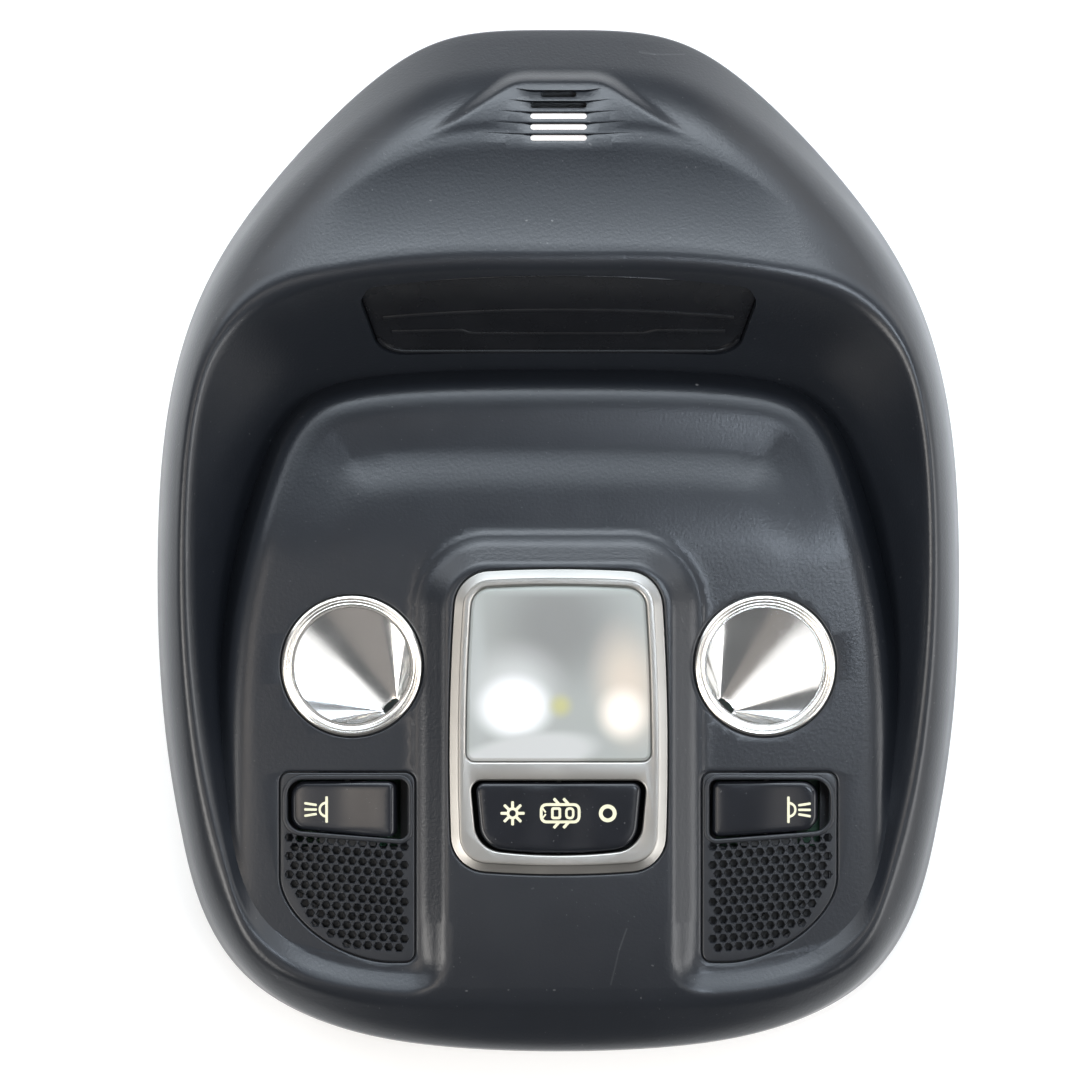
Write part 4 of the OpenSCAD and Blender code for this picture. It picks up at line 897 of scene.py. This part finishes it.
def new_tree(name, **inputs):
    # A node tree with named inputs; gives the tree, its inputs' sockets and their identifiers
    tree = bpy.data.node_groups.new(name, "GeometryNodeTree")
    ids = []
    for key, kind in {"Geometry": "Geometry", **inputs}.items():
        name = key.replace("_", " ")
        ids.append(tree.interface.new_socket(name, in_out="INPUT", socket_type="NodeSocket" + kind).identifier)
    tree.interface.new_socket("Geometry", in_out="OUTPUT", socket_type="NodeSocketGeometry")
    return tree, tree.nodes.new("NodeGroupInput").outputs, ids[1:]


def end_tree(tree, last, material):
    last = add_node(tree, "GeometryNodeRealizeInstances", {0: last})
    last = add_node(tree, "GeometryNodeSetMaterial", {"Geometry": last, "Material": material})
    tree.links.new(last, tree.nodes.new("NodeGroupOutput").inputs[0])


def run_tree(piece, tree, ids, values):
    step = piece.modifiers.new("tree", "NODES")
    step.node_group = tree
    for key, value in zip(ids, values):
        step[key] = value
    return plain(piece)


def grille_tree(material):
    tree, start, ids = new_tree("grille", Hole_places="Object", Hole_width="Float", Hole_bevel="Float",
                                Plate_thickness="Float")

    def maths(operation, a, b):
        return add_node(tree, "ShaderNodeMath", {0: a, 1: b}, operation=operation)

    places = add_node(tree, "GeometryNodeObjectInfo", {"Object": start["Hole places"]}, "Geometry")
    radius, mouth_h = maths("MULTIPLY", start["Hole width"], 0.5), maths("MULTIPLY", start["Hole bevel"], 2)
    shaft = add_node(tree, "GeometryNodeMeshCylinder", {
        "Vertices": 6, "Radius": radius, "Depth": maths("MULTIPLY", start["Plate thickness"], 4)}, "Mesh")
    mouth = add_node(tree, "GeometryNodeMeshCone", {
        "Vertices": 6, "Radius Top": maths("ADD", radius, mouth_h), "Radius Bottom": radius,
        "Depth": mouth_h}, "Mesh")
    drop = add_node(tree, "ShaderNodeCombineXYZ", {"Z": maths("MULTIPLY", start["Hole bevel"], -1)})
    mouth = add_node(tree, "GeometryNodeTransform", {"Geometry": mouth, "Translation": drop})
    last = start["Geometry"]
    for shape in (shaft, mouth):
        holes = add_node(tree, "GeometryNodeInstanceOnPoints", {"Points": places, "Instance": shape})
        holes = add_node(tree, "GeometryNodeRealizeInstances", {0: holes})
        last = add_node(tree, "GeometryNodeMeshBoolean", {"Mesh 1": last, "Mesh 2": holes}, "Mesh",
                        operation="DIFFERENCE", solver="MANIFOLD")
    end_tree(tree, last, material)
    return tree, ids


insert_black = finish("insert black", (0.011, 0.0122, 0.015), 0.33, 0.4, 0.02, 0.05, 0.1, gloss_drift=0.02)
grille, grille_ids = grille_tree(insert_black)
for s, side in ((1, "right"), (-1, "left")):
    places = solid("hole places", [(s * x, y, z) for x, y, z in grille_places()], [])
    outline, slot = on_side(insert_line(0), s), on_side(side_slot_line(0), s)
    insert = stack(side + "_switch_insert", softened(outline, floor_z - plate_t, floor_z, 0.35))
    run_tree(insert, grille, grille_ids, (places, 2.1, 0.2, plate_t))
    bpy.data.meshes.remove(places.data)
    frame_rows = softened(grown(slot, 1.2), floor_z - frame_h, floor_z + frame_h, 0.35)
    carve(insert, "UNION", stack("frame", frame_rows),
          block("walls", s * side_slot_x - 7, s * side_slot_x + 7, side_slot_y - 9.1, side_slot_y + 9.1,
                21.5, floor_z - 1.4))
    carve(insert, "DIFFERENCE", flared("opening", slot, 20, floor_z + frame_h, 0.35),
          rod("bore", s * side_slot_x, side_pivot_z, side_slot_y - 12, side_slot_y + 12, bore_r))
    put(insert, insert_black, 33, "console", "black_plastic", side + "_switch_insert")


# Rockers
# Each real rocker is a hollow black moulding with a dished face and softly rounded
# edges. It turns on two stubs, and the symbols are moulded in from a cream plastic.
face_h, rest_tilt = 8.4, -6


def dip(x):
    return 0.42 * ease(1 - np.abs(x) / 11)


def rocker(name, outline, pivot, tilt, low_y, high_y):
    def dished(x, y):
        return face_h - dip(x)

    local = outline - [pivot[0], pivot[1]]
    rows = [join_xyz(local, 1.6), join_xyz(local, 7.5)]
    for inset, z in ((0.06, 7.72), (0.22, 7.95), (0.5, 8.15), (0.85, 8.3), (1.3, 8.385)):
        inner_line = grown(local, -inset)
        rows.append(join_xyz(inner_line, z - face_h + dished(*inner_line.T)))
    piece = crowned(name, rows, dished, 1.1, 0.5)
    carve(piece, "DIFFERENCE", prism("room", grown(local, -1.4), 0.6, 6.6))
    foot, top = low_y - pivot[1] + 0.5, high_y - pivot[1]
    parts = [block("web", -1.8, 1.8, foot + 1.2, top - 0.5 - 1.2, -0.2, 6.8),
             block("web", -1.8, 1.8, foot, top - 0.5, -0.2, 2.8),
             rod("stubs", 0, 0, low_y - pivot[1] - 1, top + 1, 1.2)]
    parts += [prism("peg", disc(x, 0, 1.4, 24), 1.6, 6.8) for x in (-8, 8)]
    carve(piece, "UNION", *parts)
    piece.data.transform(Matrix.Translation(pivot) @ Matrix.Rotation(math.radians(tilt), 4, "Y")
                         @ Matrix.Translation((0.07 * tilt, 0, 0)))
    return piece


rocker_black = finish("rocker black", (0.008, 0.0088, 0.0115), 0.23, 0.3, 0.004, 0.1, 0.1, 0.0, 0.4, 0.02)
for s, side in ((-1, "left"), (1, "right")):
    low_y = side_slot_y - side_slot_half + side_slot_w / 2 * side_slope
    piece = rocker(side + "_rocker", on_side(side_slot_line(-0.5, 27.0), s),
                   Vector((s * side_slot_x, side_slot_y, side_pivot_z)), rest_tilt, low_y,
                   side_slot_y + side_slot_half)
    put(piece, rocker_black, 40, side + "_rocker", "black_plastic", side + "_rocker")
piece = rocker("centre_rocker", centre_slot_line(-0.5, 21.2), Vector((0, centre_slot_y, centre_pivot_z)), 0,
               centre_slot_y - 8.8, centre_slot_y + 8.8)
put(piece, rocker_black, 40, "centre_rocker", "black_plastic", "centre_rocker")

# Symbols
# On the real rockers these are the cream plastic of a first shot, flush with the face
# that is moulded round them. They stand a hair proud so that they show clean edges.
cream = finish("symbol cream", (0.62, 0.59, 0.42), 0.42, 0.3, 0.004, 0.05)


def box_line(x, y, w, h, turn=0.0, r=0.0):
    line = rounded_outline([[-w / 2, -h / 2], [w / 2, -h / 2], [w / 2, h / 2], [-w / 2, h / 2]], [r] * 4, 4)
    a = math.radians(turn)
    return line @ np.array([[math.cos(a), math.sin(a)], [-math.sin(a), math.cos(a)]]) + [x, y]


def symbol(name, bars, rings):
    parts = [prism("bar", line, 7.4, 8.5) for line in bars]
    for outer, cut in rings:
        parts.append(carve(prism("ring", outer, 7.4, 8.5), "DIFFERENCE", prism("cut", cut, 7, 9)))
    first = carve(parts[0], "UNION", *parts[1:])
    # Laid on the dished face
    for v in first.data.vertices:
        v.co.z += -float(dip(v.co.x)) - 0.06
    first.name = name
    return first


sun_bars = [box_line(-11.4 + 2.2 * math.cos(a), 2.2 * math.sin(a), 1.6, 0.72, math.degrees(a), 0.25)
            for a in np.radians(np.arange(0, 360, 45))]
door_bars = [box_line(0.4 + x, s * 2.9, 2.1, 0.72, -s * 48, 0.25) for s in (-1, 1) for x in (-0.9, 1.5)]
car_rings = [(box_line(0.4, 0, 10.1, 5.0, 0, 1.6), box_line(0.4, 0, 8.7, 3.6, 0, 1.0)),
             (box_line(-0.6, 0, 2.5, 3.0, 0, 0.6), box_line(-0.6, 0, 1.2, 1.7, 0, 0.2)),
             (box_line(2.8, 0, 2.3, 3.0, 0, 1.0), box_line(2.8, 0, 1.1, 1.8, 0, 0.5))]
bonnet = [box_line(-3.75, 0.95, 1.9, 0.42, -52, 0.15), box_line(-3.75, -0.95, 1.9, 0.42, 52, 0.15)]
marks = symbol("centre_rocker_symbols", sun_bars + door_bars + bonnet,
               [(disc(-11.4, 0, 1.5, 40), disc(-11.4, 0, 0.8, 32)),
                (disc(12.2, 0, 2.2, 48), disc(12.2, 0, 1.25, 40))] + car_rings)
marks.data.transform(Matrix.Translation((0, centre_slot_y + 1.6, centre_pivot_z)))
put(marks, cream, 30, "centre_rocker", "symbol_cream", "centre_rocker_symbols")
for s, side in ((-1, "left"), (1, "right")):
    turn = np.radians(np.linspace(-90, 90, 25))
    dome = [np.stack([0.6 + s * (5 + r * np.cos(turn)), r * np.sin(turn)], 1)[::s] for r in (2.0, 1.35)]
    lamp_rings = [(dome[0], dome[1] + [s * 0.1, 0])]
    lamp_bars = [box_line(0.6 + s * 5, 0, 0.65, 6.6, 0, 0.25)]
    lamp_bars += [box_line(0.6 + s * 9, k * 1.35, 3.2, 0.6, s * k * 9, 0.25) for k in (-1, 0, 1)]
    mark = symbol(side + "_rocker_symbol", lamp_bars, lamp_rings)
    mark.data.transform(Matrix.Translation((s * side_slot_x, side_slot_y, side_pivot_z))
                        @ Matrix.Rotation(math.radians(rest_tilt), 4, "Y"))
    put(mark, cream, 30, side + "_rocker", "symbol_cream", side + "_rocker_symbol")


# Lamp module
# The real module is a black housing screwed behind the face, with the board, its push
# switches, the lamps and the connector. The solids carry their own shapes here.
def dress(material, *names):
    for name in names:
        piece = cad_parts[name]
        piece.data.materials.clear()
        piece.data.materials.append(material)


dress(finish("housing black", (0.02, 0.02, 0.022), 0.5, 0.6, 0.02, 0.1, 0.3), "lamp_housing", "rear_cover")
dress(finish("board green", (0.02, 0.12, 0.05), 0.4, 0.8, 0.004, 0.15), "circuit_board")
dress(finish("switch black", (0.015, 0.015, 0.016), 0.45, 0.4, 0.005),
      "left_switch", "right_switch", "centre_switches")
dress(finish("microphone mesh", (0.03, 0.03, 0.032), 0.6, 0.5, 0.05, 0.2),
      "left_microphone", "right_microphone")
dress(finish("connector white", (0.55, 0.54, 0.49), 0.45, 0.5, 0.006, 0.05), "connector_header")
dress(finish("pin tin", (0.62, 0.55, 0.36), 0.25, 0.3, 0.003, 0.05, 0, 1.0), "connector_pins")
dress(finish("bowl coat", (0.78, 0.78, 0.76), 0.18, 0.8, 0.006, 0.04, 0, 1.0), "centre_reflector")
dress(finish("lamp yellow", (0.72, 0.62, 0.16), 0.35, 0.4, 0.004, 0.08), "centre_led", "left_led", "right_led")


# Screws and clips
# Four real screws with rounded recessed heads hold the module, and four folded spring
# clips sit on the towers' ends. A node tree sets each on its places.
def set_on_places(name, shape, places, material):
    tree, start, ids = new_tree(name, Shape="Object", Size="Float")
    shape_mesh = add_node(tree, "GeometryNodeObjectInfo", {"Object": start["Shape"]}, "Geometry")
    last = add_node(tree, "GeometryNodeInstanceOnPoints", {
        "Points": start["Geometry"], "Instance": shape_mesh, "Scale": start["Size"]})
    end_tree(tree, last, material)
    piece = run_tree(solid(name, places, []), tree, ids, (shape, 1.0))
    bpy.data.meshes.remove(shape.data)
    return piece


steel = finish("zinc steel", (0.55, 0.55, 0.53), 0.3, 0.5, 0.006, 0.12, 0, 1.0)
screw_profile = ((2.4, -2.4), (3.0, -2.2), (3.4, -1.7), (3.5, -1.1), (3.5, 0.0), (1.75, 0.0), (1.75, 17.2),
                 (1.1, 18.5))
screw = stack("screw", turned(0, 0, screw_profile, 40))
carve(screw, "DIFFERENCE", block("recess", -2, 2, -0.4, 0.4, -3, -1.2),
      block("recess", -0.4, 0.4, -2, 2, -3, -1.2))
screws = set_on_places("module_screws", screw, [(x, y, 8) for x, y in screw_places], steel)
put(screws, steel, 35, "console", "steel", "module_screws")
half, t = 3.5, 0.6
side_line = [[half + t, 4], [half + 3, 9], [half + 2.4, 9.5], [half + t, 6.4], [half + t, 16], [half, 16],
             [half, t]]
side_round = [0.6, 0.25, 0.15, 0.6, 0.1, 0.1, 0.2]
clip_line = rounded_outline([[-half - t, 0], [half + t, 0]] + side_line + [[-x, z] for x, z in side_line[::-1]],
                            [0.5, 0.5] + side_round + side_round[::-1], 3)
clip = prism("clip", clip_line, -4, 4)
clip.data.transform(Matrix.Rotation(math.pi / 2, 4, "Z") @ Matrix.Rotation(math.pi / 2, 4, "X"))
clips = set_on_places("roof_clips", clip, [(x, y, 0) for x, y in tower_places], steel)
put(clips, steel, 35, "console", "steel", "roof_clips")

# Camera straight over the face, a pale floor and soft light
# It stands where the photograph was taken from, square on to the console.
camera_data = bpy.data.cameras.new("camera")
camera_data.lens, camera_data.sensor_width = 200, 36
camera = add("camera", camera_data)
camera.location = (-0.0046, 0.0001, 1.525)
bpy.context.scene.camera = camera
floor = solid("floor", [(-3, -3, 0), (3, -3, 0), (3, 3, 0), (-3, 3, 0)], [(0, 1, 2, 3)])
pale = Finish("pale floor").shade(Base_Color=(0.96, 0.96, 0.96, 1), Emission_Color=(1, 1, 1, 1),
                                  Emission_Strength=0.12, Roughness=0.8)
floor.data.materials.append(pale)


def soft_light(name, place, aim, width, height, power, colour=(1, 1, 1)):
    data = bpy.data.lights.new(name, "AREA")
    data.shape, data.size, data.size_y, data.energy, data.color = "RECTANGLE", width, height, power, colour
    lamp = add(name, data)
    lamp.location = place
    lamp.rotation_euler = (Vector(aim) - Vector(place)).to_track_quat("-Z", "Y").to_euler()


soft_light("near panel", (0.115, 0.045, 0.42), (0.065, 0.03, 0), 0.09, 0.09, 0.44, (0.78, 0.88, 1.0))
soft_light("near right", (0.23, -0.09, 0.75), (-0.051, -0.03, 0), 0.3, 0.2, 0.28)
soft_light("near left", (-0.22, -0.1, 0.75), (0.051, -0.03, 0), 0.38, 0.22, 0.36)
soft_light("brown card", (-0.12, -0.36, 0.75), (-0.05, -0.03, 0), 0.3, 0.25, 0.04, (1.0, 0.86, 0.76))
soft_light("warm card", (-0.31, -0.07, 0.75), (-0.05, -0.06, 0), 0.16, 0.16, 0.34, (1.0, 0.86, 0.72))
soft_light("ceiling", (0.12, 1.35, 1.65), (0.1, 0.1, 0), 1.6, 1.0, 12, (0.8, 0.9, 1.0))
soft_light("upper left", (-0.8, 0.8, 0.8), (0, 0.05, 0), 0.7, 0.6, 4.5, (0.85, 0.92, 1.0))
soft_light("upper right", (0.8, 0.8, 0.8), (0, 0.05, 0), 0.7, 0.6, 3.2, (0.85, 0.92, 1.0))
soft_light("right window", (1.2, -0.51, 1.09), (0, 0, 0), 1.25, 0.55, 13)
soft_light("left window", (-1.1, -0.66, 1.09), (0, 0, 0), 1.1, 0.55, 16, (1.0, 0.97, 0.93))
soft_light("far side", (0, 1.5, 1.1), (0, 0, 0), 1.4, 0.5, 20, (0.84, 0.92, 1.0))
soft_light("low card right", (0.5, -0.02, 0.16), (0, 0, 0.03), 0.8, 0.24, 0.9)
soft_light("low card far left", (-0.42, 0.4, 0.16), (0, 0.05, 0.03), 0.5, 0.2, 0.5)
soft_light("low card far right", (0.42, 0.4, 0.16), (0, 0.05, 0.03), 0.5, 0.2, 0.5)
soft_light("below the louvres", (0, 0.106, 0.012), (0, 0.106, 0), 0.05, 0.04, 0.005, (1.0, 0.92, 0.88))
world = bpy.data.worlds.new("studio")
world.use_nodes = True
sky = world.node_tree.nodes["Background"].inputs
sky["Color"].default_value, sky["Strength"].default_value = (0.96, 0.98, 1, 1), 0.12
bpy.context.scene.world = world
bpy.context.scene.view_settings.view_transform = "Standard"
